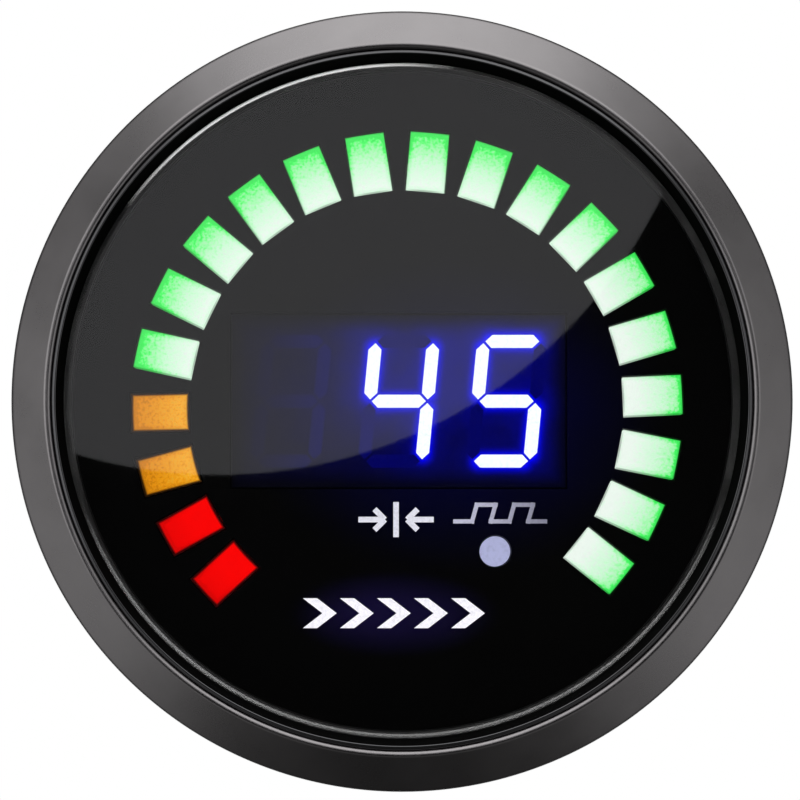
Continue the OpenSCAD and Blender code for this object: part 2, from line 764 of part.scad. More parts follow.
// The case's tube with four columns that carry the main board and take the cover's screws
module case() color([0.05, 0.05, 0.05]) difference() {
    union() {
        ring(case_r, case_bore_r, case_back_z, flange_z);
        on_columns() rod(column_fit_r, case_back_z + fit_gap, main_board_back_z);
    }
    on_columns() rod(cover_screw_r, case_back_z - cut_over, case_back_z + cover_screw_l);
}

// The shape cut for each rear fitting, between two heights
module rear_holes(low, high) {
    on_studs() rod(stud_r + fit_gap, low, high);
    translate([0, nipple_y, 0]) rod(nipple_thread_r + fit_gap, low, high);
    translate([0, socket_y, 0]) block(grown(socket_size, fit_gap), low, high);
    on_columns() rod(cover_screw_r + fit_gap, low, high);
}

module rear_cover() color([0.05, 0.05, 0.05]) difference() {
    cover_r = case_r - cover_inset;
    union() {
        turned([[0, cover_back_z], [cover_r - cover_chamfer, cover_back_z],
            [cover_r, cover_back_z + cover_chamfer], [cover_r, case_back_z], [0, case_back_z]]);
        difference() {
            ring(spigot_r, spigot_r - cover_plug_wall, case_back_z - fit_gap, case_back_z + cover_plug_l);
            on_columns() rod(column_fit_r + fit_gap, case_back_z, case_back_z + cover_plug_l + cut_over);
        }
    }
    rear_holes(cover_back_z - cut_over, case_back_z + cut_over);
}

module cover_screws() color([0.5, 0.5, 0.52]) on_columns() difference() {
    union() {
        rod(cover_screw_head_r, cover_back_z - cover_screw_head_h, cover_back_z);
        rod(cover_screw_r - running_gap, cover_back_z - fit_gap, case_back_z + cover_screw_l - fit_gap);
    }
    for (turn = [0, 90]) rotate(turn)
        block([2 * (cover_screw_head_r - cover_screw_slot_w), cover_screw_slot_w],
            cover_back_z - cover_screw_head_h - cut_over,
            cover_back_z - cover_screw_head_h + cover_screw_slot_depth);
}

// Stub, thread, plain seat for the hose and the barbs behind it, turned as one, with a hex
module pressure_nipple() {
    root_r = nipple_r - nipple_neck_inset;
    stub_z = sensor_port_z - sensor_stub_gap;
    collar_z = nipple_hex_z - nipple_hex_h / 2;
    seat_z = nipple_hex_back_z - nipple_seat_l;
    end_z = nipple_hex_back_z - nipple_l;
    barb_l = (seat_z - end_z) / nipple_barb_count;
    barbs = [for (i = [0:nipple_barb_count - 1])
        let (start_z = seat_z - i * barb_l, crest_z = start_z - nipple_barb_lead_share * barb_l)
            each [[root_r, start_z], [root_r, crest_z], [nipple_r, crest_z], [root_r, start_z - barb_l]]];
    color([0.8, 0.62, 0.3]) translate([0, nipple_y, 0]) difference() {
        union() {
            hex_rod(nipple_hex_flats, nipple_hex_back_z, nipple_hex_z);
            turned(concat(
                [[0, stub_z], [sensor_port_r, stub_z], [sensor_port_r, nipple_inner_z],
                 [nipple_thread_r, nipple_inner_z], [nipple_thread_r, collar_z], [nipple_r, collar_z],
                 [nipple_r, seat_z]],
                barbs, [[0, end_z]]), fn = small_fn);
        }
        rod_hole(nipple_bore_r, end_z, stub_z);
    }
}

module nipple_seal() color([0.03, 0.03, 0.03]) translate([0, nipple_y, 0])
    ring(nipple_seal_r, nipple_thread_r + fit_gap, nipple_hex_z, cover_back_z, fn = small_fn);

module nipple_nut() color([0.8, 0.62, 0.3]) translate([0, nipple_y, 0]) difference() {
    hex_rod(nipple_hex_flats, case_back_z, case_back_z + nipple_nut_h);
    rod_hole(nipple_thread_r + running_gap, case_back_z, case_back_z + nipple_nut_h);
}

// The shrouded power socket, with a keyway in its upper wall
module power_socket() color([0.9, 0.9, 0.86]) translate([0, socket_y, 0]) difference() {
    block(socket_size, socket_end_z, main_board_back_z);
    block(grown(socket_size, -socket_wall), socket_end_z - cut_over, socket_end_z + socket_cavity);
    translate([0, socket_size[1] / 2, 0])
        block([socket_key_w, 2 * socket_wall + cut_over], socket_end_z - cut_over,
            socket_end_z + socket_key_depth);
    on_socket_pins() block([socket_pin_w, socket_pin_w], socket_end_z, main_board_back_z + cut_over);
}

module on_socket_pins() for (i = [0:socket_pin_count - 1])
    translate([(i - (socket_pin_count - 1) / 2) * fitted(socket_pitch), 0, 0]) children();

module socket_pins() color([0.85, 0.8, 0.6]) translate([0, socket_y, 0]) on_socket_pins()
    block([socket_pin_w, socket_pin_w], socket_end_z + socket_cavity - socket_pin_l, main_board_back_z);

module mounting_studs() color([0.7, 0.7, 0.72]) on_studs() {
    rod(stud_r, stud_end_z, case_back_z);
    hex_rod(stud_head_flats, case_back_z, case_back_z + stud_head_h);
}

module stud_lock_washers() color([0.6, 0.6, 0.62]) on_studs()
    ring(lock_washer_r, stud_r + fit_gap, stud_nut_z, cover_back_z, fn = small_fn);

module stud_nuts() color([0.72, 0.72, 0.74]) on_studs() difference() {
    hex_rod(stud_nut_flats, stud_nut_back_z, stud_nut_z);
    rod_hole(stud_r + running_gap, stud_nut_back_z, stud_nut_z);
}

// Half of the strap's outline seen from above, from the foot's tip to the middle of the crossbar
module clamp_bracket() {
    inner_x = case_r + strap_side_gap;
    outer_x = inner_x + strap_t;
    foot_x = sqrt(pow(bezel_r - foot_margin, 2) - pow(strap_w / 2, 2));
    bend = [inner_x - strap_bend_r, crossbar_z + strap_bend_r];
    half = concat(
        [[inner_x, foot_z], [foot_x, foot_z], [foot_x, foot_z - strap_t], [outer_x, foot_z - strap_t]],
        arc(bend, strap_bend_r + strap_t, 0, -90),
        [[0, crossbar_back_z], [0, crossbar_z]],
        arc(bend, strap_bend_r, -90, 0));
    color([0.12, 0.12, 0.13]) difference() {
        for (side = [0, 1]) mirror([side, 0, 0])
            rotate([90, 0, 0]) translate([0, 0, -strap_w / 2]) linear_extrude(strap_w) polygon(half);
        on_studs() rod_hole(stud_r + hole_gap, crossbar_back_z, crossbar_z);
    }
}

module bracket_washers() color([0.75, 0.75, 0.77]) on_studs()
    ring(washer_r, stud_r + hole_gap, washer_back_z, crossbar_back_z, fn = small_fn);

// A thumb nut with a fluted wheel and a plain hub against the washer
module thumb_nut(x) {
    wheel_r = thumb_nut_d / 2;
    front_z = washer_back_z - running_gap;
    back_z = front_z - thumb_nut_h;
    steps = flute_count * flute_points;
    outline = [for (i = [0:steps - 1])
        let (r = wheel_r * (1 - flute_depth_share * (1 + cos(360 * i / flute_points)) / 2))
            r * [cos(360 * i / steps), sin(360 * i / steps)]];
    color([0.78, 0.72, 0.5]) translate([x, 0, 0]) difference() {
        union() {
            rod(thumb_nut_hub_r, front_z - thumb_nut_hub_h, front_z);
            translate([0, 0, back_z]) linear_extrude(thumb_nut_h - thumb_nut_hub_h) polygon(outline);
        }
        rod_hole(stud_r + thread_gap, back_z, front_z);
    }
}

module left_thumb_nut() thumb_nut(-stud_x);

module right_thumb_nut() thumb_nut(stud_x);

place() bezel_ring();
place() retainer_ring();
place() lens();
place() lens_gasket();
place() spacer_ring();
place() face_plate();
place() display_filter();
place() green_windows();
place() amber_windows();
place() red_windows();
place() indicator_window();
place() boost_marks();
place() pressure_marks();
place() voltage_marks();
place() front_frame();
place() light_housing();
place() digit_display();
place() lit_segments();
place() unlit_segments();
place() display_pins();
place() display_board();
place() bar_leds();
place() legend_leds();
place() driver_chips();
place() chip_resistors();
place() board_screws();
place() board_spacers();
place() spacer_nuts();
place() pin_header();
place() main_board();
place() microcontroller();
place() crystal();
place() filter_capacitors();
place() voltage_regulator();
place() pressure_sensor();
place() sensor_tube();
place() case();
place() rear_cover();
place() cover_screws();
place() pressure_nipple();
place() nipple_seal();
place() nipple_nut();
place() power_socket();
place() socket_pins();
place() mounting_studs();
place() stud_lock_washers();
place() stud_nuts();
place() clamp_bracket();
place() bracket_washers();
place() left_thumb_nut();
place() right_thumb_nut();
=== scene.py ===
"""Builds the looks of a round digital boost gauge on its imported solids.

The dial faces -Y and +Z is up on it. Sizes in the dataclasses are in millimetres, and an
outline to be turned is given in pairs of radius and height in front of the panel plane.
"""

import json
import logging
import math
from collections.abc import Callable, Iterator, Sequence
from contextlib import contextmanager
from dataclasses import dataclass
from enum import Enum
from functools import partial
from itertools import pairwise

import bmesh
import bpy
import numpy as np
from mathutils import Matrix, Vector

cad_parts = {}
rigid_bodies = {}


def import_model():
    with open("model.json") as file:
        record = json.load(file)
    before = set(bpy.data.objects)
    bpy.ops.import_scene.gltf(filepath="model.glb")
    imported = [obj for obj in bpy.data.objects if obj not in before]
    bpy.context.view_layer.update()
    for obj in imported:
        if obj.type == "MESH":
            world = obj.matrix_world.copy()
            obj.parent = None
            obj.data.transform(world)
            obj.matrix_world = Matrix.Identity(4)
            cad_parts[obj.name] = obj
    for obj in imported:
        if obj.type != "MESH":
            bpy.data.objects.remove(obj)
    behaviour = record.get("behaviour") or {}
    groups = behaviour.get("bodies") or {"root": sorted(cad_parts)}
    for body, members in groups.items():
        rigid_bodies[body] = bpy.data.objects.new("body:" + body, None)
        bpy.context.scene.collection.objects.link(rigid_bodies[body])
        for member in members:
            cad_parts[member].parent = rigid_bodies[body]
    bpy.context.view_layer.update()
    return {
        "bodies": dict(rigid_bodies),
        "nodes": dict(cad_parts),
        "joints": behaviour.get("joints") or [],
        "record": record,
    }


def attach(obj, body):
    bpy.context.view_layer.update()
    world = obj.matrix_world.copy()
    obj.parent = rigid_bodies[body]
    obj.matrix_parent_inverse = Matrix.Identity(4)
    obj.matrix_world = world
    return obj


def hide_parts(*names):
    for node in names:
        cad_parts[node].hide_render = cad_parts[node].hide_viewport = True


MM = 0.001
LOG = logging.getLogger("gauge")

Triple = tuple[float, float, float]
Colour = Triple
Place = Triple
Spot = tuple[float, float]
Outline = list[Spot]
Socket = bpy.types.NodeSocket

BLACK: Colour = (0.0, 0.0, 0.0)


class Body(str, Enum):
    """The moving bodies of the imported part."""

    GAUGE = "gauge"
    BRACKET = "bracket"
    LEFT_NUT = "left_nut"
    RIGHT_NUT = "right_nut"


class Cut(str, Enum):
    """What is left of a piece after a second one has worked on it."""

    WITHIN = "INTERSECT"
    OUTSIDE = "DIFFERENCE"


# -------- shader maths


def operator(name: str, swapped: bool = False) -> Callable[["Value", "Value | float"], "Value"]:
    """Makes the method behind one of Python's operators.

    Args:
        name: The Math node's operation.
        swapped: Whether the value on the left of the operator is the other one.

    Returns:
        The method, which adds the node.
    """
    def work(self: "Value", other: "Value | float") -> "Value":
        """Works out one value and another."""
        pair = (other, self) if swapped else (self, other)
        return self.shader.maths(name, *pair)
    return work


class Value:
    """A number that a shader works out, so that maths on it is written as plain Python."""

    __add__ = __radd__ = operator("ADD")
    __sub__ = operator("SUBTRACT")
    __rsub__ = operator("SUBTRACT", swapped=True)
    __mul__ = __rmul__ = operator("MULTIPLY")
    __truediv__ = operator("DIVIDE")
    __pow__ = operator("POWER")

    def __init__(self, shader: "Shader", socket: Socket) -> None:
        """Wraps one output socket of a shader's nodes."""
        self.shader = shader
        self.socket = socket

    def __abs__(self) -> "Value":
        """Drops the sign."""
        return self.shader.maths("ABSOLUTE", self)

    def rise(self, low: float, high: float) -> "Value":
        """Runs smoothly from 0 at one limit to 1 at the other.

        Args:
            low: The value that gives 0.
            high: The value that gives 1, which may be the lower of the two.

        Returns:
            The eased share of the way between the limits.
        """
        inputs = {0: self, 1: min(low, high), 2: max(low, high)}
        node = self.shader.node("ShaderNodeMapRange", {"interpolation_type": "SMOOTHSTEP"}, inputs)
        eased = Value(self.shader, node.outputs[0])
        return 1 - eased if high < low else eased


class Shader:
    """The nodes of one material or world, each added by its type."""

    def __init__(self, owner: bpy.types.ID) -> None:
        """Empties the node tree of a material or a world."""
        owner.use_nodes = True
        self.owner = owner
        self.tree = owner.node_tree
        self.tree.nodes.clear()

    @classmethod
    def of_material(cls, name: str) -> "Shader":
        """Starts a new material of the given name."""
        return cls(bpy.data.materials.new(name))

    def node(
        self,
        kind: str,
        settings: dict[str, object] | None = None,
        inputs: dict[int | str, object] | None = None,
    ) -> bpy.types.Node:
        """Adds one node.

        Args:
            kind: The node's type.
            settings: Its own settings, set first. The key stops holds a ramp's stops.
            inputs: Values or links for its sockets, by number or name.

        Returns:
            The new node.
        """
        made = self.tree.nodes.new(kind)
        for name, setting in (settings or {}).items():
            if name == "stops":
                self._set_stops(made.color_ramp, setting)
            else:
                setattr(made, name, setting)
        for key, given in (inputs or {}).items():
            source = given.socket if isinstance(given, Value) else given
            if isinstance(source, Socket):
                self.tree.links.new(source, made.inputs[key])
            else:
                made.inputs[key].default_value = source
        return made

    @staticmethod
    def _set_stops(ramp: bpy.types.ColorRamp, stops: Sequence[tuple[float, Colour]]) -> None:
        """Gives a colour ramp its stops, lowest first."""
        while len(ramp.elements) < len(stops):
            ramp.elements.new(1.0)
        for element, (place, colour) in zip(ramp.elements, stops):
            element.position = place
            element.color = (*colour, 1)

    def maths(self, operation: str, *values: "Value | float") -> Value:
        """Adds a Math node on values and numbers."""
        node = self.node("ShaderNodeMath", {"operation": operation}, dict(enumerate(values)))
        return Value(self, node.outputs[0])

    def place(self, stretch: Place = (1, 1, 1)) -> Socket:
        """The piece's own coordinates in millimetres, each divided by its stretch."""
        found = self.node("ShaderNodeTexCoord").outputs["Object"]
        scale = tuple(1 / MM / share for share in stretch)
        return self.node("ShaderNodeMapping", None, {"Vector": found, "Scale": scale}).outputs[0]

    def axes(self) -> tuple[Value, Value, Value]:
        """The piece's own x, y and z in millimetres."""
        split = self.node("ShaderNodeSeparateXYZ", None, {0: self.place()})
        return tuple(Value(self, socket) for socket in split.outputs)

    def noise(self, size: float, detail: float = 3, stretch: Place = (1, 1, 1)) -> Value:
        """Cloudy noise from 0 to 1 whose patches are about size millimetres across."""
        inputs = {"Vector": self.place(stretch), "Scale": 1 / size, "Detail": detail}
        return Value(self, self.node("ShaderNodeTexNoise", None, inputs).outputs[0])

    def cells(self, size: float, feature: str = "F1") -> Value:
        """Distances in a field of cells that are size millimetres across."""
        inputs = {"Vector": self.place(), "Scale": 1 / size, "Randomness": 0.85}
        settings = {"feature": feature, "distance": "CHEBYCHEV"}
        if feature == "DISTANCE_TO_EDGE":
            settings = {"feature": feature}
        return Value(self, self.node("ShaderNodeTexVoronoi", settings, inputs).outputs["Distance"])

    def kept(self, name: str) -> Value:
        """A number that is kept on the mesh under a name."""
        return Value(self, self.node("ShaderNodeAttribute", {"attribute_name": name}).outputs["Fac"])

    def blend(self, share: Value, low: object, high: object) -> Socket:
        """Mixes two colours, given as numbers or links, by a share."""
        inputs = {0: share, 6: with_alpha(low), 7: with_alpha(high)}
        return self.node("ShaderNodeMix", {"data_type": "RGBA"}, inputs).outputs[2]

    def ramp(self, value: Value, *stops: tuple[float, Colour]) -> Socket:
        """Turns a value into a colour by a row of stops."""
        return self.node("ShaderNodeValToRGB", {"stops": stops}, {0: value}).outputs[0]

    def bump(self, height: Value, depth: float) -> Socket:
        """Raises the surface by a height from 0 to 1, times a depth in millimetres."""
        inputs = {"Height": height, "Distance": depth * MM, "Strength": 1.0}
        return self.node("ShaderNodeBump", None, inputs).outputs[0]

    def surface(self, inputs: dict[str, object]) -> None:
        """Ends a material in a Principled surface that has the given inputs."""
        given = {name: with_alpha(value) for name, value in inputs.items()}
        shader = self.node("ShaderNodeBsdfPrincipled", None, given)
        self.node("ShaderNodeOutputMaterial", None, {"Surface": shader.outputs[0]})

    def lit_surface(
        self, base: object, roughness: object, gloss: float, light: object, **inputs: object
    ) -> None:
        """Ends a material in a surface that gives light of its own."""
        self.surface({
            "Base Color": base, "Roughness": roughness, "Specular IOR Level": gloss,
            "Emission Color": light, "Emission Strength": 1.0, **inputs,
        })


def with_alpha(given: object) -> object:
    """Adds full opacity to a colour, and leaves anything else as it is."""
    return (*given, 1) if isinstance(given, tuple) else given


def grey(level: float) -> Colour:
    """A colour without a hue."""
    return (level,) * 3


def shade(colour: Colour, by: float) -> Colour:
    """A colour made lighter or darker by a factor."""
    return tuple(min(channel * by, 1.0) for channel in colour)


# -------- finishes


@dataclass(frozen=True)
class Finish:
    """What every finish has: the name of the record's material slot that it dresses."""

    slot: str

    def material(self) -> bpy.types.Material:
        """Makes the material, under the slot's name."""
        shader = Shader.of_material(self.slot)
        self.dress(shader)
        return shader.owner

    def dress(self, shader: Shader) -> None:
        """Adds the finish's nodes."""
        raise NotImplementedError


@dataclass(frozen=True)
class Metal(Finish):
    """Bare, plated or lacquered metal with a fine grain and faint handling marks."""

    colour: Colour
    roughness: float
    grain: float = 0.12
    depth: float = 0.002
    stretch: Place = (1, 1, 1)
    tarnish: float = 0.12

    def dress(self, shader: Shader) -> None:
        """Adds the finish's nodes."""
        grain = shader.noise(self.grain, 4, self.stretch)
        cloud = shader.noise(self.grain * 35)
        worn = cloud.rise(0.35, 0.7)
        colour = shader.blend(worn, shade(self.colour, 1 - self.tarnish), shade(self.colour, 1.04))
        shader.surface({
            "Base Color": colour,
            "Metallic": 1.0,
            "Roughness": self.roughness + (cloud - 0.5) * 0.14 + (grain - 0.5) * 0.1,
            "Normal": shader.bump(grain, self.depth),
        })


@dataclass(frozen=True)
class Plastic(Finish):
    """Moulded plastic with a spark-eroded grain and slight clouding."""

    colour: Colour
    roughness: float
    grain: float = 0.25
    depth: float = 0.012
    coat: float = 0.0
    gloss: float = 0.5

    def dress(self, shader: Shader) -> None:
        """Adds the finish's nodes."""
        grain = shader.noise(self.grain, 2)
        cloud = shader.noise(self.grain * 30)
        colour = shader.blend(cloud, shade(self.colour, 0.82), shade(self.colour, 1.2))
        shader.surface({
            "Base Color": colour,
            "Roughness": self.roughness + (cloud - 0.5) * 0.12,
            "Coat Weight": self.coat,
            "Coat Roughness": 0.12,
            "Specular IOR Level": self.gloss,
            "Normal": shader.bump(grain, self.depth),
        })


@dataclass(frozen=True)
class Rubber(Finish):
    """Soft black rubber with a dull bloom on it."""

    colour: Colour

    def dress(self, shader: Shader) -> None:
        """Adds the finish's nodes."""
        bloom = shader.noise(1.6, 4).rise(0.45, 0.75)
        grain = shader.noise(0.18, 2)
        shader.surface({
            "Base Color": shader.blend(bloom, self.colour, shade(self.colour, 1.9)),
            "Roughness": 0.72 + bloom * 0.12,
            "Normal": shader.bump(grain, 0.02),
        })


@dataclass(frozen=True)
class Board(Finish):
    """A lacquered circuit board with raised tracks and small tinned pads."""

    colour: Colour

    def dress(self, shader: Shader) -> None:
        """Adds the finish's nodes."""
        track = shader.cells(1.9, "DISTANCE_TO_EDGE").rise(0.1, 0.06)
        pad = shader.cells(2.54).rise(0.16, 0.12)
        weave = shader.noise(0.3, 2)
        lacquer = shader.blend(track, self.colour, shade(self.colour, 1.7))
        shader.surface({
            "Base Color": shader.blend(pad, lacquer, (0.62, 0.6, 0.55)),
            "Metallic": pad,
            "Roughness": 0.34 + weave * 0.1,
            "Normal": shader.bump(track * 0.7 + pad + weave * 0.1, 0.04),
        })


@dataclass(frozen=True)
class Clear(Finish):
    """A thin clear or tinted pane: see-through, with the mirror of a polished surface.

    The rounded edge of its front, outside a radius, may carry painted highlights, glints laid on by
    place: each glint is a direction and half a width in degrees, and a strength.
    """

    colour: Colour
    roughness: float
    mirror: float = 0.04
    tint: float = 0.0
    edge_radius: float = 90.0
    edge_height: float = 5.5
    glints: tuple[Triple, ...] = ()
    glint_core: float = 0.4

    def dress(self, shader: Shader) -> None:
        """Adds the finish's nodes."""
        facing = shader.node("ShaderNodeLayerWeight", None, {0: 0.5}).outputs["Facing"]
        mirror = Value(shader, facing) ** 5 * (1 - self.mirror) + self.mirror
        haze = shader.noise(9.0, 4)
        # The edge turns white and matte where the glints lie: a painted highlight, not frosted glass.
        shine = self.painted_edge_glint(shader)
        painted_glint = shine.rise(0.0, 0.05)
        shader.surface({
            "Base Color": self.colour,
            "Metallic": 1 - painted_glint,
            "Roughness": self.roughness + haze * 0.01 + painted_glint * 0.2,
            "Alpha": mirror + self.tint + haze * 0.002 + shine,
        })

    def painted_edge_glint(self, shader: Shader) -> Value:
        """How strongly the painted highlight shows at each place on the edge."""
        x, y, z = shader.axes()
        radius = (x * x + z * z) ** 0.5
        shine = x * 0.0
        for direction, half, strength in self.glints:
            turn = math.radians(direction)
            near = (x * math.cos(turn) + z * math.sin(turn)) / radius
            wide, narrow = (math.cos(math.radians(reach)) for reach in (half, half * self.glint_core))
            shine = shine + near.rise(wide, narrow) * strength
        front = y.rise(-self.edge_height, -self.edge_height - 0.2)
        return shine * front * radius.rise(self.edge_radius, self.edge_radius + 0.15)


@dataclass(frozen=True)
class BarRing:
    """Where the light bars sit on the dial, in millimetres and degrees from the top."""

    centre: Spot = (0.35, -0.45)
    radius: float = 19.0
    first: float = -132.6
    pitch: float = 13.75
    length: float = 4.5
    width: float = 3.0


@dataclass(frozen=True)
class LightBar(Finish):
    """A lit window whose light falls off from one end to the other over a grainy diffuser.

    The colours run from the bar's inner to its outer end. Mottle is how far the grain moves
    them, edge the width of its dark border, and lean how much paler the bars get towards the
    dial's lower right, over a span of x - z.
    """

    inner: Colour
    middle: Colour
    outer: Colour
    mottle: float = 0.75
    edge: float = 0.0
    lean: float = 0.0
    lean_span: Spot = (-8.0, 20.0)
    rim: float = 0.45
    blur: float = 0.1
    ring: BarRing = BarRing()

    def dress(self, shader: Shader) -> None:
        """Adds the finish's nodes."""
        x, _, z = shader.axes()
        ring, edge = self.ring, self.edge
        across, up = x - ring.centre[0], z - ring.centre[1]
        radius = (across * across + up * up) ** 0.5
        turn = shader.maths("ARCTAN2", across, up) * math.degrees(1)
        bar = (turn - ring.first) / ring.pitch
        side = shader.maths("WRAP", bar, 0.5, -0.5) * math.radians(ring.pitch) * radius
        out = radius - ring.radius
        margin = shader.maths("MINIMUM", ring.length / 2 - abs(out), ring.width / 2 - abs(side))
        grains = shader.noise(0.22)
        rimmed = margin.rise(edge + self.rim, edge) * 0.3
        paler = (x - z).rise(*self.lean_span) * self.lean
        along = out / ring.length + 0.5 + (grains - 0.5) * self.mottle + rimmed - paler
        between = tuple((a + b) / 2 for a, b in zip(self.middle, self.outer))
        colour = shader.ramp(
            along, (0.0, self.inner), (0.46, self.middle), (0.72, between),
            (0.93, self.outer), (1.0, shade(self.outer, 0.85)),
        )
        grain = 1 + (grains - 0.5) * self.mottle * 0.4
        dim = margin.rise(edge - self.blur, edge + self.blur) * grain
        lit = shader.blend(dim, BLACK, colour)
        shader.lit_surface(shade(self.outer, 0.02), 0.4, 0.05, lit)


@dataclass(frozen=True)
class Ink(Finish):
    """Printed or lit marking, with the slight speckle of screen print."""

    colour: Colour
    strength: float
    far_colour: Colour | None = None
    span: Spot = (0.0, 1.0)

    def dress(self, shader: Shader) -> None:
        """Adds the finish's nodes. The colour runs to the far one over a span of x."""
        x, _, _ = shader.axes()
        colour = shader.blend(x.rise(*self.span), self.colour, self.far_colour or self.colour)
        speckle = shader.noise(0.25).rise(0.25, 0.6)
        # Each mark gives its colour as light of its own over a near-black base; on print that isn't
        # lit, such as white_print and grey_print, this glow is painted light.
        lit = shader.blend(speckle * 0.16 + 0.84, BLACK, colour)
        more = {"Emission Strength": self.strength, "Normal": shader.bump(speckle, 0.006)}
        shader.lit_surface(shade(self.colour, 0.05), 0.6, 0.05, lit, **more)


@dataclass(frozen=True)
class Glow:
    """An oval patch of leaked light, in millimetres."""

    centre: Spot
    reach: Spot
    colour: Colour


@dataclass(frozen=True)
class Dial(Finish):
    """The near-black face, with the light that leaks round the display and the lit marks."""

    colour: Colour
    glows: tuple[Glow, ...] = (
        Glow((4.0, -1.0), (17.0, 13.0), (0.0003, 0.0003, 0.02)),
        Glow((-0.6, -16.4), (8.5, 3.6), (0.005, 0.003, 0.026)),
    )

    def dress(self, shader: Shader) -> None:
        """Adds the finish's nodes."""
        x, _, z = shader.axes()
        speckle = shader.noise(0.2)
        cloud = shader.noise(5.0)
        lit: object = BLACK
        for glow in self.glows:
            across = (x - glow.centre[0]) / glow.reach[0]
            up = (z - glow.centre[1]) / glow.reach[1]
            share = ((across * across + up * up) ** 0.5).rise(1.0, 0.15)
            lit = shader.blend(share * (0.6 + cloud * 0.8), lit, glow.colour)
        base = shader.blend(speckle, shade(self.colour, 0.7), shade(self.colour, 1.4))
        roughness = 0.5 + (cloud - 0.5) * 0.2
        shader.lit_surface(base, roughness, 0.02, lit, Normal=shader.bump(speckle, 0.006))


@dataclass(frozen=True)
class Screen(Finish):
    """The diffuser of the display, lit round the segments by the amount kept on the mesh."""

    halo: Colour
    haze: Colour

    def dress(self, shader: Shader) -> None:
        """Adds the finish's nodes."""
        patch = shader.noise(2.2)
        grid = shader.noise(0.35, 2)
        back = shader.kept("haze") * (0.55 + patch * 0.9 + (grid - 0.5) * 0.3)
        light = shader.blend(shader.kept("halo"), shader.blend(back, BLACK, self.haze), self.halo)
        shader.lit_surface(
            (0.001, 0.001, 0.002), 0.5, 0.02, light, Normal=shader.bump(grid, 0.004)
        )


FINISHES: tuple[Finish, ...] = (
    Metal("gunmetal_paint", (0.33, 0.315, 0.32), 0.3, grain=0.16, depth=0.0035, tarnish=0.05),
    Metal("gloss_black", (0.125, 0.125, 0.13), 0.16, grain=0.3, depth=0.001, tarnish=0.05),
    # Near-black and without gloss: painted shade for the retainer's inner wall.
    Plastic("shadow_black", grey(0.001), 0.9, gloss=0.02),
    # The lens's glints are painted highlights, at the bottom and the upper left of its edge.
    Clear("clear_lens", grey(1.0), 0.01, edge_radius=25.5,
          glints=((270.0, 78.0, 0.17), (113.0, 33.0, 0.95))),
    Rubber("seal_rubber", grey(0.012)),
    Plastic("black_plastic", grey(0.004), 0.6, gloss=0.08),
    Dial("face_black", grey(0.0006)),
    Clear("smoked_filter", (0.01, 0.01, 0.02), 0.3, mirror=0.003, tint=0.05),
    LightBar("green_light", (0.92, 1.0, 0.94), (0.66, 1.0, 0.72), (0.06, 1.0, 0.13), lean=0.2),
    LightBar("amber_light", (1.0, 0.48, 0.032), (0.88, 0.35, 0.008), (0.72, 0.25, 0.004),
             mottle=2.2, edge=0.19),
    LightBar("red_light", (1.0, 0.0, 0.0), (1.0, 0.0, 0.0), (0.85, 0.0, 0.0), mottle=0.3,
             edge=0.2),
    Ink("indicator_light", (0.42, 0.44, 0.68), 1.0),
    Ink("lit_print", (0.95, 0.93, 1.0), 1.05),
    # white_print and grey_print glow by their own emission: painted light in place of lamplight on
    # print.
    Ink("white_print", (0.76, 0.76, 0.85), 1.0),
    Ink("grey_print", (0.52, 0.52, 0.66), 1.0, (0.2, 0.2, 0.27), (4.0, 12.0)),
    Plastic("display_body", (0.0006, 0.0006, 0.001), 0.5, gloss=0.02),
    Screen("screen", (0.0, 0.0, 1.0), (0.0, 0.0, 0.2)),
    Ink("lit_segment", (0.9, 1.0, 1.0), 1.3),
    # The unlit segments' faint blue glow, rising from x = -12 to x = -2, is painted light.
    Ink("unlit_segment", (0.0005, 0.0005, 0.02), 1.0, (0.0, 0.0, 0.13), (-12.0, -2.0)),
    Metal("tinned_pin", (0.75, 0.74, 0.7), 0.3),
    Board("circuit_board", (0.008, 0.11, 0.035)),
    Plastic("led_body", (0.8, 0.78, 0.6), 0.35, coat=0.4),
    Plastic("chip_black", (0.015, 0.015, 0.016), 0.55, grain=0.12),
    Metal("zinc_steel", (0.62, 0.63, 0.66), 0.26, grain=0.18, depth=0.003, tarnish=0.16),
    Metal("blackened_steel", (0.06, 0.06, 0.065), 0.36, grain=0.15, tarnish=0.3),
    Metal("plain_brass", (0.72, 0.5, 0.2), 0.27, grain=0.14, depth=0.002, tarnish=0.22),
    Metal("metal_can", (0.72, 0.72, 0.74), 0.22, stretch=(6, 1, 1)),
    Plastic("capacitor_sleeve", (0.01, 0.012, 0.06), 0.25, coat=0.6),
    Rubber("tube_silicone", grey(0.35)),
    Plastic("case_black", (0.024, 0.024, 0.025), 0.4, grain=0.3, depth=0.016),
    Plastic("socket_nylon", (0.72, 0.7, 0.62), 0.4, grain=0.2, depth=0.006),
    Plastic("bracket_paint", (0.02, 0.02, 0.021), 0.34, grain=0.22, depth=0.01, coat=0.3),
)


class Palette:
    """Every material of the gauge, made once and found by its slot."""

    def __init__(self) -> None:
        """Makes the materials."""
        self.materials = {finish.slot: finish.material() for finish in FINISHES}

    def dress(self, piece: bpy.types.Object, slot: str) -> None:
        """Gives a piece the finish of a slot."""
        if not piece.material_slots:
            piece.data.materials.append(None)
        for held in piece.material_slots:
            held.material = self.materials[slot]

    def dress_part(
        self, piece: bpy.types.Object, slot: str, test: Callable[[Vector], bool]
    ) -> None:
        """Gives the faces whose middle, in millimetres, passes a test another finish."""
        piece.data.materials.append(self.materials[slot])
        for face in piece.data.polygons:
            if test(face.center / MM):
                face.material_index = len(piece.data.materials) - 1

    def dress_solids(self, frame: dict) -> None:
        """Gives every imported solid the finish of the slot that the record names."""
        for row in frame["record"]["subparts"]:
            self.dress(frame["nodes"][row["node"]], row["material_slot"])


# -------- modelling


def polar(centre: Spot, radius: float, turn: float) -> Spot:
    """The point at a distance and a direction, in radians, from a centre."""
    return centre[0] + radius * math.cos(turn), centre[1] + radius * math.sin(turn)


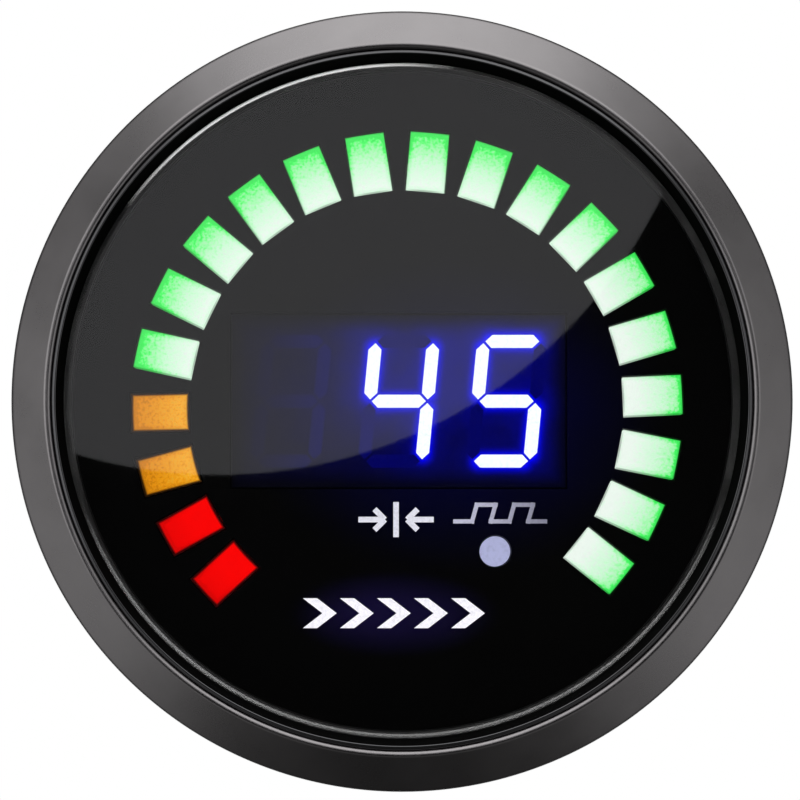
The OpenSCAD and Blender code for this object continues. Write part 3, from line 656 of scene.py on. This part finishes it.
def arc(centre: Spot, radius: float, start: float, end: float, steps: int) -> Outline:
    """Points on a round corner of an outline.

    Args:
        centre: The corner's centre, as radius and height.
        radius: The corner's own radius.
        start: Direction of the first point, in degrees anticlockwise.
        end: Direction of the last point.
        steps: Number of steps between them.

    Returns:
        The points, with one more a little way along the straight at each end.
    """
    turns = [math.radians(start + (end - start) * i / steps) for i in range(steps + 1)]
    points = [polar(centre, radius, turn) for turn in turns]
    way = math.copysign(0.03, end - start)
    lead = (points[0][0] + way * math.sin(turns[0]), points[0][1] - way * math.cos(turns[0]))
    tail = (points[-1][0] - way * math.sin(turns[-1]), points[-1][1] + way * math.cos(turns[-1]))
    return [lead, *points, tail]


class Workpiece:
    """One mesh that is shaped with Blender's own modelling tools."""

    def __init__(self, name: str, primitive: Callable, **settings: object) -> None:
        """Adds a primitive.

        Args:
            name: The piece's name.
            primitive: The operator that adds it.
            settings: The operator's settings.
        """
        if bpy.context.object:
            bpy.context.view_layer.objects.active = None
        bpy.ops.object.select_all(action="DESELECT")
        primitive(**settings)
        self.object = bpy.context.object
        self.object.name = self.object.data.name = name

    @classmethod
    def turned(cls, name: str, outline: Outline, steps: int, axis: Spot = (0, 0)) -> "Workpiece":
        """Turns an outline about a line that runs along Y.

        Args:
            name: The piece's name.
            outline: Radius and height, point by point. It is closed unless both its ends lie
                on the axis.
            steps: Number of steps round.
            axis: Where the line passes, in x and z.

        Returns:
            The turned piece.
        """
        piece = cls.drawn(name, [(axis[0] + r, -h) for r, h in outline], axis[1])
        centre = (axis[0] * MM, 0, axis[1] * MM)
        with piece.editing():
            bpy.ops.mesh.spin(steps=steps, angle=math.tau, center=centre, axis=(0, 1, 0))
            piece.tidy()
        return piece

    @classmethod
    def rod(cls, name: str, radius: float, ends: Spot, corners: int, axis: Spot) -> "Workpiece":
        """Adds a cylinder or prism along Y between two heights, with its axis at x and z."""
        rear, front = ends
        return cls(
            name, bpy.ops.mesh.primitive_cylinder_add, vertices=corners, radius=radius * MM,
            depth=(front - rear) * MM, rotation=(math.pi / 2, 0, 0),
            location=(axis[0] * MM, -(rear + front) / 2 * MM, axis[1] * MM),
        )

    @classmethod
    def drawn(cls, name: str, points: Outline, level: float) -> "Workpiece":
        """Draws an outline seen from above by extruding one corner from point to point.

        Args:
            name: The piece's name.
            points: The outline's x and y. It is closed unless both its ends share an x
                that no other point has passed.
            level: Its height, z.

        Returns:
            The outline, as edges.
        """
        piece = cls(name, bpy.ops.mesh.primitive_plane_add, size=MM)
        lowest = min(x for x, _ in points)
        path = [Vector((x, y, level)) * MM for x, y in points]
        if not points[0][0] == points[-1][0] == lowest:
            path.append(path[0])
        with piece.editing():
            bpy.ops.mesh.merge(type="CENTER")
            bpy.ops.transform.translate(value=path[0])
            for start, end in pairwise(path):
                bpy.ops.mesh.extrude_vertices_move(
                    TRANSFORM_OT_translate={"value": tuple(end - start)}
                )
            bpy.ops.mesh.select_all(action="SELECT")
            bpy.ops.mesh.remove_doubles(threshold=1e-7)
        return piece

    @contextmanager
    def editing(self) -> Iterator[None]:
        """Opens the piece in edit mode with everything selected, and closes it again."""
        self.take_up()
        bpy.ops.object.mode_set(mode="EDIT")
        bpy.ops.mesh.select_all(action="SELECT")
        yield
        bpy.ops.object.mode_set(mode="OBJECT")

    def take_up(self) -> None:
        """Makes this piece the only one selected."""
        bpy.ops.object.select_all(action="DESELECT")
        self.object.select_set(True)
        bpy.context.view_layer.objects.active = self.object

    @staticmethod
    def tidy() -> None:
        """Merges doubled corners and points every face outwards, in edit mode."""
        bpy.ops.mesh.select_all(action="SELECT")
        bpy.ops.mesh.remove_doubles(threshold=1e-6)
        bpy.ops.mesh.normals_make_consistent(inside=False)

    def pick(self, test: Callable[[Vector], bool]) -> None:
        """Selects the corners whose place, in millimetres, passes a test, in edit mode."""
        bpy.ops.mesh.select_all(action="DESELECT")
        mesh = bmesh.from_edit_mesh(self.object.data)
        for corner in mesh.verts:
            corner.select_set(test(corner.co / MM))
        bmesh.update_edit_mesh(self.object.data)

    @staticmethod
    def narrow(share: float, x: float) -> None:
        """Draws what is selected in to a share of its distance from an axis at x, in edit mode."""
        bpy.ops.transform.resize(value=(share, 1, share), center_override=(x * MM, 0, 0))

    def modify(self, kind: str, **settings: object) -> "Workpiece":
        """Adds a modifier with the given settings and applies it."""
        self.take_up()
        bpy.ops.object.modifier_add(type=kind)
        modifier = self.object.modifiers[-1]
        for name, setting in settings.items():
            setattr(modifier, name, setting)
        bpy.ops.object.modifier_apply(modifier=modifier.name)
        return self

    def cut(self, tool: "Workpiece", kind: Cut) -> "Workpiece":
        """Keeps what is within or outside a second piece, which is then gone."""
        self.modify("BOOLEAN", operation=kind.value, solver="EXACT", object=tool.object)
        bpy.data.objects.remove(tool.object)
        return self

    def join(self, *others: "Workpiece") -> "Workpiece":
        """Takes other pieces' meshes into this one."""
        self.take_up()
        for other in others:
            other.object.select_set(True)
        bpy.ops.object.join()
        return self

    def copy(self, shift: float) -> "Workpiece":
        """Adds a copy of the mesh further along x, by millimetres."""
        self.take_up()
        bpy.ops.object.duplicate()
        bpy.ops.transform.translate(value=(shift * MM, 0, 0))
        twin = bpy.context.object
        self.take_up()
        twin.select_set(True)
        bpy.ops.object.join()
        return self

    def finish(
        self, palette: Palette, slot: str, body: Body, *nodes: str, smooth: float = 32
    ) -> bpy.types.Object:
        """Puts the place into the mesh, smooths it, dresses it and hangs it on its body.

        Args:
            palette: Where its material comes from.
            slot: The record's material slot.
            body: The body that it rides on.
            nodes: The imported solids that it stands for.
            smooth: The sharpest angle that is smoothed, in degrees.

        Returns:
            The finished piece.
        """
        self.take_up()
        bpy.ops.object.transform_apply(location=True, rotation=True, scale=True)
        bpy.ops.object.shade_smooth_by_angle(angle=math.radians(smooth))
        palette.dress(self.object, slot)
        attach(self.object, body.value)
        if nodes:
            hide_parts(*nodes)
        LOG.info("%s: %d faces", self.object.name, len(self.object.data.polygons))
        return self.object


# -------- sub-assemblies


@dataclass
class Front:
    """The bezel, the ring inside its lip and the lens.

    The roll is the width and the thickness of the bezel's edge behind the frame. The stack,
    where the retainer sits, and the rim, where the lens's flange ends, are a radius and a height.
    """

    palette: Palette
    radius: float = 30.0
    height: float = 7.3
    side_height: float = 4.35
    face_width: float = 3.22
    wall: float = 1.1
    roll: Spot = (3.0, 0.8)
    roll_chamfer: float = 0.12
    foot_round: float = 0.3
    edge_round: float = 0.8
    lip_round: float = 0.32
    seat_radius: float = 28.9
    stack: Spot = (27.4, 3.9)
    bead_width: float = 0.36
    bead_drop: float = 0.1
    bead_slope: float = 30.0
    bead_round: float = 0.1
    sink: float = 0.2
    lens_radius: float = 25.82
    lens_round: float = 0.3
    lens_chamfer: float = 0.05
    lens_gap: float = 0.1
    rim: Spot = (26.35, 5.2)
    lens_heights: Spot = (4.2, 6.1)

    def __post_init__(self) -> None:
        """Works out the sloping face, the tangent to its two rounded edges."""
        self.opening = self.radius - self.face_width
        self.edge = Vector((self.radius - self.edge_round, self.side_height))
        self.lip = Vector((self.opening + self.lip_round, self.height - self.lip_round))
        run = self.lip - self.edge
        self.slope = math.atan2(run.y, run.x) - math.acos(
            (self.edge_round - self.lip_round) / run.length
        )

    def inner_height(self, radius: float) -> float:
        """Height of the bezel's inner face at a radius."""
        out = Vector((math.cos(self.slope), math.sin(self.slope)))
        on = self.edge + (self.edge_round - self.wall) * out
        return on.y - (radius - on.x) * out.x / out.y

    def build(self) -> None:
        """Builds the three pieces."""
        self.bezel()
        self.retainer()
        self.lens()

    def bezel(self) -> None:
        """Turns the metal ring, with its edge rolled in behind the frame."""
        slope = math.degrees(self.slope)
        width, thick = self.roll
        outline = [
            (self.radius - width, self.roll_chamfer), (self.radius - width + self.roll_chamfer, 0),
            *arc((self.radius - self.foot_round, self.foot_round), self.foot_round, -90, 0, 5),
            *arc(tuple(self.edge), self.edge_round, 0, slope, 9),
            *arc(tuple(self.lip), self.lip_round, slope, 180, 12),
            (self.opening, self.inner_height(self.opening)),
            (self.seat_radius, self.inner_height(self.seat_radius)),
            (self.seat_radius, thick), (self.radius - width, thick),
        ]
        ring = Workpiece.turned("bezel_shell", outline, 256)
        ring.finish(self.palette, "gunmetal_paint", Body.GAUGE, "bezel_ring")

    def retainer(self) -> None:
        """Turns the black ring, whose crown slopes outwards to meet the lip."""
        crown = self.opening - 0.04
        ridge = crown - self.bead_width
        high = self.height - self.bead_drop - self.bead_round
        fall = math.tan(math.radians(self.bead_slope))
        low = high - (self.bead_width - 2 * self.bead_round) * fall
        seat, shelf = self.rim[0] + self.lens_gap, self.rim[1] + self.lens_gap / 2
        window = self.lens_radius + self.lens_gap
        outline = [
            (seat, self.stack[1]), self.stack,
            (self.stack[0], self.inner_height(self.stack[0]) - self.sink),
            (crown, self.inner_height(crown) - self.sink),
            *arc((crown - self.bead_round, low), self.bead_round, 0, 90 - self.bead_slope, 4),
            *arc((ridge + self.bead_round, high), self.bead_round, 90 - self.bead_slope, 180, 8),
            (ridge, high - self.sink), (window, self.rim[1] + 0.5), (window, shelf), (seat, shelf),
        ]
        ring = Workpiece.turned("lens_retainer", outline, 256)
        piece = ring.finish(self.palette, "gloss_black", Body.GAUGE, "retainer_ring")
        # The inner wall, from the ridge inwards, takes the near-black, glossless shadow_black:
        # painted shade.
        self.palette.dress_part(
            piece, "shadow_black", lambda p: math.hypot(p.x, p.z) < ridge + 0.02
        )

    def lens(self) -> None:
        """Turns the lens, with its raised face and rounded edge."""
        back, front = self.lens_heights
        rim, shelf = self.rim
        bevel, rounding = self.lens_chamfer, self.lens_round
        outline = [
            (0.0, back), (rim - bevel, back), (rim, back + bevel), (rim, shelf - bevel),
            (rim - bevel, shelf), (self.lens_radius, shelf),
            *arc((self.lens_radius - rounding, front - rounding), rounding, 0, 90, 10),
            (0.0, front),
        ]
        lens = Workpiece.turned("clear_lens", outline, 256)
        lens.finish(self.palette, "clear_lens", Body.GAUGE, "lens", smooth=40)


# The ends of a digit's segments, in halves of its width and height.
SEGMENTS: dict[str, tuple[Spot, Spot]] = {
    "a": ((-1, 1), (1, 1)), "b": ((1, 0), (1, 1)), "c": ((1, -1), (1, 0)),
    "d": ((-1, -1), (1, -1)), "f": ((-1, 0), (-1, 1)), "g": ((-1, 0), (1, 0)),
}


@dataclass
class Display:
    """The diffuser behind the display's window, which carries the glow of the lit segments."""

    palette: Palette
    size: Spot = (25.7, 13.3)
    centre: Spot = (-0.25, 0.0)
    level: float = 2.44
    grid: tuple[int, int] = (172, 90)
    pitch: float = 8.33
    digit: Spot = (4.45, 9.25)
    lean: float = 5.5
    digits: tuple[str, ...] = ("", "fgbc", "afgcd")
    end_inset: float = 0.55
    thickness: float = 0.03
    halo: Spot = (1.25, 0.48)
    halo_power: float = 2.2
    haze_reaches: Spot = (1.1, 5.0)
    haze_far: float = 0.4
    haze_lift: float = 0.1
    border: float = 1.4
    border_light: float = 0.15

    def lit_lines(self) -> list[np.ndarray]:
        """The middle lines of the lit segments, in x and z."""
        half = np.array(self.digit) / 2
        slant = np.array(((1, 0), (math.tan(math.radians(self.lean)), 1)))
        lines = []
        for i, letters in enumerate(self.digits):
            move = np.array((self.centre[0] + (i - 1) * self.pitch, self.centre[1]))
            for letter in letters:
                start, end = (np.array(spot) * half @ slant for spot in SEGMENTS[letter])
                run = (end - start) / np.linalg.norm(end - start) * self.end_inset
                lines.append(np.array((start + run + move, end - run + move)))
        return lines

    def build(self) -> None:
        """Builds the diffuser and works out its glow, corner by corner."""
        place = (self.centre[0] * MM, -self.level * MM, self.centre[1] * MM)
        film = Workpiece(
            "display_diffuser", bpy.ops.mesh.primitive_grid_add, x_subdivisions=self.grid[0],
            y_subdivisions=self.grid[1], size=MM, location=place, rotation=(math.pi / 2, 0, 0),
        )
        with film.editing():
            bpy.ops.transform.resize(value=(self.size[0], 1, self.size[1]))
        film.take_up()
        bpy.ops.object.transform_apply(location=True, rotation=True, scale=True)
        film.modify("SOLIDIFY", thickness=self.thickness * MM, offset=-1)
        self.light(film.object.data)
        film.finish(self.palette, "display_body", Body.GAUGE)
        self.palette.dress(film.object, "screen")

    def light(self, mesh: bpy.types.Mesh) -> None:
        """Keeps on each corner how near it lies to a lit segment, and how hazy it is."""
        corners = np.empty(len(mesh.vertices) * 3)
        mesh.vertices.foreach_get("co", corners)
        places = corners.reshape(-1, 3)[:, (0, 2)] / MM
        close_reach, far_reach = self.haze_reaches
        nearest = np.full(len(places), np.inf)
        close = np.zeros(len(places))
        for start, end in self.lit_lines():
            run = end - start
            share = np.clip((places - start) @ run / (run @ run), 0, 1)
            distance = np.linalg.norm(places - start - share[:, None] * run, axis=1)
            nearest = np.minimum(nearest, distance)
            close += np.exp(-distance / close_reach)
        far, near = self.halo
        halo = np.clip((far - nearest) / (far - near), 0, 1) ** self.halo_power
        haze = close * (1 + self.haze_lift * places[:, 1])
        haze += self.haze_far * np.exp(-nearest / far_reach)
        inside = np.array(self.size) / 2 - np.abs(places - np.array(self.centre))
        haze *= np.clip(inside.min(axis=1) / self.border, self.border_light, 1)
        for name, values in (("halo", halo), ("haze", haze)):
            mesh.attributes.new(name, "FLOAT", "POINT").data.foreach_set("value", values)


@dataclass
class Rear:
    """Studs, nuts, washers and hose nipple behind the case."""

    palette: Palette
    stud_x: float = 15.5
    stud_root: float = 1.52
    stud_crest: float = 1.94
    stud_heights: Spot = (-26.0, -51.5)
    pitch: float = 0.7
    flats: float = 7.0
    nut_heights: Spot = (-31.8, -28.6)
    chamfer: float = 0.45
    bore_chamfer: float = 0.25
    tooth_root: float = 0.82
    nipple_z: float = 9.5

    def build(self) -> None:
        """Builds the fittings."""
        self.studs()
        self.stud_nuts()
        self.lock_washers()
        self.nipple()

    def hexagon(
        self, name: str, flats: float, low: float, high: float, bore: float, axis: Spot
    ) -> Workpiece:
        """Makes a hexagonal nut or collar with turned chamfers.

        Args:
            name: The piece's name.
            flats: Width across flats.
            low: Height of its rear end.
            high: Height of its front end.
            bore: Radius of its bore.
            axis: Where its axis passes, in x and z.

        Returns:
            The piece.
        """
        corner = flats / 2 / math.cos(math.pi / 6)
        face, edge, lead = flats / 2 - 0.1, self.chamfer, self.bore_chamfer
        blank = Workpiece.turned(name, [
            (bore + lead, low), (face, low), (corner, low + edge), (corner, high - edge),
            (face, high), (bore + lead, high), (bore, high - lead), (bore, low + lead),
        ], 96, axis)
        prism = Workpiece.rod("prism", corner, (low - 0.5, high + 0.5), 6, axis)
        return blank.cut(prism, Cut.WITHIN)

    def studs(self) -> None:
        """Makes a threaded stud with its head inside the case, and a copy of it."""
        front, tip = self.stud_heights
        axis = (-self.stud_x, 0)
        root, crest = self.stud_root, self.stud_crest
        rod = Workpiece.turned("threaded_studs", [
            (0.0, tip), (root - 0.35, tip), (root, tip + 0.35), (root, front + 0.02),
            (0.0, front + 0.02),
        ], 32, axis)
        turns = int((front - tip - 0.8) / self.pitch)
        start = -front + 0.15
        foot = root - 0.06
        ridge = Workpiece.drawn("ridge", [
            (foot, start), (crest, start + self.pitch * 0.4),
            (crest, start + self.pitch * 0.52), (foot, start + self.pitch * 0.92),
        ], 0)
        ridge.modify("SCREW", axis="Y", screw_offset=self.pitch * MM, iterations=turns, steps=24,
                     render_steps=24, use_merge_vertices=False, use_smooth_shade=True)
        with ridge.editing():
            bpy.ops.transform.translate(value=(axis[0] * MM, 0, 0))
            bpy.ops.mesh.fill_holes(sides=4)
            ridge.tidy()
        head = self.hexagon("head", self.flats, front, front + 2.5, 0.2, axis)
        rod.join(ridge, head).copy(2 * self.stud_x)
        rod.finish(self.palette, "zinc_steel", Body.GAUGE, "mounting_studs")

    def stud_nuts(self) -> None:
        """Makes the two nuts that hold the studs to the rear cover."""
        nut = self.hexagon("stud_hex_nuts", self.flats, *self.nut_heights, 2.0, (-self.stud_x, 0))
        nut.copy(2 * self.stud_x)
        nut.finish(self.palette, "zinc_steel", Body.GAUGE, "stud_nuts")

    def lock_washers(self) -> None:
        """Makes the two washers with a toothed edge."""
        axis, steps = (-self.stud_x, 0), 48
        bore, rim, rear, front = 2.05, 3.6, -28.57, -28.02
        washer = Workpiece.turned(
            "toothed_washers", [(bore, rear), (rim, rear), (rim, front), (bore, front)], steps, axis
        )

        def is_notch(place: Vector) -> bool:
            """Says whether a corner is on the rim and lies between two teeth."""
            out = Vector((place.x - axis[0], place.z))
            step = round(math.atan2(out.y, out.x) / math.tau * steps) % 4
            return out.length > rim - 0.6 and step < 2

        with washer.editing():
            washer.pick(is_notch)
            washer.narrow(self.tooth_root, axis[0])
        washer.copy(2 * self.stud_x)
        washer.finish(self.palette, "zinc_steel", Body.GAUGE, "stud_lock_washers", smooth=20)

    def nipple(self) -> None:
        """Turns the hose nipple with rounded barbs and gives it a chamfered hex."""
        axis = (0, self.nipple_z)
        stub, thread, collar, seat, end = -22.7, -23.7, -29.9, -35.2, -45.2
        bore, pipe, core, crown, neck, shank = 0.9, 1.5, 1.9, 2.4, 2.4, 2.9
        barb = (seat - end) / 3
        barbs: Outline = []
        for i in range(3):
            top = seat - i * barb
            crest = top - 0.3 * barb
            barbs += [(core, top), (core, crest), (crown - 0.08, crest), (crown, crest - 0.08),
                      (crown - 0.02, crest - 0.3), (core, top - barb)]
        body = Workpiece.turned("hose_nipple", [
            (bore, stub), (pipe, stub), (pipe, thread), (shank - 0.1, thread),
            (shank, thread - 0.1), (shank, collar), (neck, collar), (neck, seat + 0.1),
            (neck - 0.1, seat), *barbs[:-1], (core, end + 0.25), (core - 0.25, end),
            (bore + 0.2, end), (bore, end + 0.2),
        ], 64, axis)
        body.join(self.hexagon("collar", 8.0, -31.2, -28.6, 2.2, axis))
        body.finish(self.palette, "plain_brass", Body.GAUGE, "pressure_nipple")


@dataclass
class Clamp:
    """The bracket behind the gauge, its washers and the two thumb nuts.

    A washer is its outer radius and thickness, and a nut the radii of its bore, hub and rim.
    """

    palette: Palette
    stud_x: float = 15.5
    inner_x: float = 27.2
    foot_x: float = 29.38
    foot: float = 5.0
    crossbar: float = 36.0
    thickness: float = 1.2
    width: float = 10.0
    bend: float = 1.5
    bore: float = 2.25
    washer: Spot = (4.5, 0.8)
    nut_front: float = 38.05
    nut: Triple = (2.03, 3.6, 5.5)
    flutes: int = 30
    flute_steps: int = 8
    flute_depth: float = 0.05

    def build(self) -> None:
        """Builds the clamp's pieces."""
        self.bracket()
        self.washers()
        self.thumb_nut("left_nut_wheel", -self.stud_x, Body.LEFT_NUT, "left_thumb_nut")
        self.thumb_nut("right_nut_wheel", self.stud_x, Body.RIGHT_NUT, "right_thumb_nut")

    def bracket(self) -> None:
        """Bends the strap, rounds its edges and drills it for the studs."""
        t, x, y = self.thickness, self.inner_x, self.crossbar
        middle = (x - self.bend, y - self.bend)
        turns = [math.radians(90 * i / 8) for i in range(9)]
        outer = [polar(middle, self.bend + t, turn) for turn in turns]
        inner = [polar(middle, self.bend, turn) for turn in reversed(turns)]
        half = [(x, self.foot), (self.foot_x, self.foot), (self.foot_x, self.foot + t),
                (x + t, self.foot + t), *outer]
        back = [(-px, py) for px, py in reversed(half)]
        left = [(-px, py) for px, py in reversed(inner)]
        strap = Workpiece.drawn("clamp_strap", [*half, *back, *left, *inner], -self.width / 2)
        with strap.editing():
            bpy.ops.mesh.edge_face_add()
            bpy.ops.mesh.extrude_region_move(
                TRANSFORM_OT_translate={"value": (0, 0, self.width * MM)}
            )
            strap.tidy()
        for side in (-1, 1):
            ends = (-y - t / 2 - 2, -y - t / 2 + 2)
            drill = Workpiece.rod("drill", self.bore, ends, 48, (side * self.stud_x, 0))
            strap.cut(drill, Cut.OUTSIDE)
        strap.modify("BEVEL", width=0.16 * MM, segments=2, limit_method="ANGLE",
                     angle_limit=math.radians(50))
        strap.finish(self.palette, "bracket_paint", Body.BRACKET, "clamp_bracket")

    def washers(self) -> None:
        """Turns the two washers, with their edges rounded as stamped ones are."""
        bore, (outer, thick) = self.bore, self.washer
        back = -(self.crossbar + self.thickness)
        low = back - thick
        washer = Workpiece.turned("flat_washers", [
            (bore, low + 0.05), (bore + 0.05, low), (outer - 0.05, low), (outer, low + 0.05),
            (outer, back - 0.25), (outer - 0.08, back - 0.08), (outer - 0.25, back),
            (bore + 0.15, back), (bore, back - 0.12),
        ], 72, (-self.stud_x, 0))
        washer.copy(2 * self.stud_x)
        washer.finish(self.palette, "zinc_steel", Body.BRACKET, "bracket_washers")

    def thumb_nut(self, name: str, x: float, body: Body, node: str) -> None:
        """Turns a thumb nut and presses the flutes into its rim.

        Args:
            name: The piece's name.
            x: Where its axis passes.
            body: The body that it rides on.
            node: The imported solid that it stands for.
        """
        bore, hub, rim = self.nut
        front, ledge, back = -self.nut_front, -self.nut_front - 2, -self.nut_front - 6
        nut = Workpiece.turned(name, [
            (bore + 0.3, front), (hub - 0.2, front), (hub, front - 0.2), (hub, ledge),
            (rim - 0.4, ledge), (rim, ledge - 0.35), (rim, back + 0.35), (rim - 0.4, back),
            (rim - 0.95, back), (rim - 1.25, back + 0.3), (hub - 0.1, back + 0.3),
            (hub - 0.4, back), (bore + 0.35, back), (bore, back + 0.35), (bore, front - 0.3),
        ], self.flutes * self.flute_steps, (x, 0))

        def at_rim(place: Vector, step: int) -> bool:
            """Says whether a corner is on the rim and at one of the steps across a flute."""
            out = Vector((place.x - x, place.z))
            turn = math.atan2(out.y, out.x) / math.tau * self.flutes * self.flute_steps
            return out.length > rim - 0.2 and round(turn) % self.flute_steps == step

        with nut.editing():
            for step in range(self.flute_steps):
                wave = (1 + math.cos(math.tau * step / self.flute_steps)) / 2
                depth = 1 - self.flute_depth * wave
                nut.pick(partial(at_rim, step=step))
                nut.narrow(depth, x)
        nut.finish(self.palette, "plain_brass", body, node, smooth=28)


@dataclass
class Studio:
    """The floor, the light and the camera.

    A lamp is a name, a place, its width and its power in watts. A softbox, which only
    reflections show, is a direction, its reach in degrees and its strength. The ring gives how
    bright reflections are from straight below, at 0, to straight above, at 1.
    """

    width: float = 61.4
    dial_plane: float = 4.6
    lens: float = 200.0
    elevation: float = -2.5
    aim: Spot = (-0.155, 0.0)
    floor_level: float = -90.0
    glare_centre: Spot = (-14.1, 32.0)
    glare_radius: float = 37.75
    glare: float = 0.44
    softboxes: tuple[tuple[Place, float, float], ...] = (
        ((0.0, -0.55, 0.83), 46.0, 1.3), ((-0.8, -0.55, 0.15), 34.0, 0.9),
        ((0.85, -0.5, 0.15), 30.0, 0.55),
    )
    ring: tuple[Spot, ...] = (
        (0.0, 0.03), (0.06, 0.06), (0.14, 0.26), (0.22, 0.4), (0.31, 0.4), (0.5, 0.27),
        (0.8, 0.18), (0.91, 0.44), (0.96, 1.02), (1.0, 1.4),
    )
    lamps: tuple[tuple[str, Place, float, float], ...] = (
        ("overhead", (0, -120, 620), 500, 6.0), ("fill", (-260, -520, 420), 400, 3.0),
        ("low", (40, -420, -420), 300, 3.0), ("back", (380, 560, 320), 500, 5.0),
    )

    def build(self) -> None:
        """Builds the studio."""
        bpy.context.scene.view_settings.view_transform = "Standard"
        self.camera()
        self.floor()
        self.world()
        for lamp in self.lamps:
            self.lamp(*lamp)
        self.glare_card()

    def eye(self) -> Vector:
        """Where the camera stands, in metres."""
        distance = self.width * self.lens / 36
        rise = math.radians(self.elevation)
        out = Vector((0, -math.cos(rise), math.sin(rise)))
        return (Vector((0, -self.dial_plane, 0)) + out * distance) * MM

    @staticmethod
    def hang(data: bpy.types.ID, place: Vector, target: Vector) -> bpy.types.Object:
        """Adds a camera or a lamp that faces a target.

        Args:
            data: The camera or lamp.
            place: Where it hangs, in metres.
            target: What it faces.

        Returns:
            The new object.
        """
        made = bpy.data.objects.new(data.name, data)
        bpy.context.scene.collection.objects.link(made)
        made.location = place
        made.rotation_euler = (target - place).to_track_quat("-Z", "Y").to_euler()
        return made

    def camera(self) -> None:
        """Adds the camera, at the photograph's angle."""
        data = bpy.data.cameras.new("camera")
        data.lens = self.lens
        target = Vector((self.aim[0], -self.dial_plane, self.aim[1])) * MM
        bpy.context.scene.camera = self.hang(data, self.eye(), target)

    def floor(self) -> None:
        """Adds a plain pale floor."""
        floor = Workpiece(
            "floor", bpy.ops.mesh.primitive_circle_add, vertices=96, radius=1.2,
            fill_type="NGON", location=(0, 0, self.floor_level * MM),
        ).object
        shader = Shader.of_material("floor_paper")
        paper = shader.blend(shader.noise(60.0), grey(0.78), grey(0.84))
        shader.surface({"Base Color": paper, "Roughness": 0.8})
        floor.data.materials.append(shader.owner)
        floor.visible_glossy = False

    def world(self) -> None:
        """Adds a white surround whose reflection is bright overhead and dark in front."""
        world = bpy.data.worlds.new("studio")
        bpy.context.scene.world = world
        shader = Shader(world)
        way = shader.node("ShaderNodeTexCoord").outputs["Generated"]
        _, y, z = (
            Value(shader, s) for s in shader.node("ShaderNodeSeparateXYZ", None, {0: way}).outputs
        )
        path = shader.node("ShaderNodeLightPath").outputs
        ring = shader.ramp(z * 0.5 + 0.5, *((place, grey(level)) for place, level in self.ring))
        mirrored = shader.blend(y.rise(-0.93, -0.35), grey(0.003), ring)
        flag = y.rise(0.25, 0.5) * y.rise(0.95, 0.8)
        mirrored = shader.blend(flag * 0.8, mirrored, BLACK)
        for centre, reach, strength in self.softboxes:
            aim = {0: way, 1: Vector(centre).normalized()}
            dot = shader.node("ShaderNodeVectorMath", {"operation": "DOT_PRODUCT"}, aim)
            near = Value(shader, dot.outputs["Value"])
            spot = near.rise(math.cos(math.radians(reach)), math.cos(math.radians(reach * 0.55)))
            mirrored = shader.blend(spot, mirrored, grey(strength))
        seen = shader.blend(Value(shader, path["Is Glossy Ray"]), grey(0.75), mirrored)
        colour = shader.blend(Value(shader, path["Is Camera Ray"]), seen, grey(1.0))
        back = shader.node("ShaderNodeBackground", None, {"Color": colour, "Strength": 1.0})
        shader.node("ShaderNodeOutputWorld", None, {"Surface": back.outputs[0]})

    def lamp(self, name: str, place: Place, size: float, power: float) -> None:
        """Adds a soft lamp that faces the gauge and isn't mirrored in it.

        Args:
            name: The lamp's name.
            place: Where it hangs, in millimetres.
            size: Its width.
            power: Its power in watts.
        """
        data = bpy.data.lights.new(name, "AREA")
        data.size = size * MM
        data.energy = power
        self.hang(data, Vector(place) * MM, Vector()).visible_glossy = False

    def glare_card(self) -> None:
        """Adds the round lit card that the flat lens mirrors across its upper left."""
        eye = self.eye() / MM
        x, z = (2 * c - e for c, e in zip(self.glare_centre, (eye.x, eye.z)))
        card = Workpiece(
            "glare_card", bpy.ops.mesh.primitive_circle_add, vertices=256,
            radius=2 * self.glare_radius * MM, fill_type="NGON", rotation=(math.pi / 2, 0, 0),
            location=(x * MM, eye.y * MM, z * MM),
        ).object
        shader = Shader.of_material("glare_light")
        light = {"Emission Color": (0.97, 0.97, 1.0), "Emission Strength": self.glare}
        shader.surface({"Base Color": BLACK, **light})
        card.data.materials.append(shader.owner)
        card.visible_camera = card.visible_diffuse = card.visible_shadow = False


def main() -> None:
    """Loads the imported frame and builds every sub-assembly in order."""
    logging.basicConfig(level=logging.INFO, format="%(message)s")
    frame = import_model()
    palette = Palette()
    palette.dress_solids(frame)
    for part in (Front(palette), Display(palette), Rear(palette), Clamp(palette), Studio()):
        part.build()
        LOG.info("%s is built", type(part).__name__)


if __name__ == "__main__":
    main()
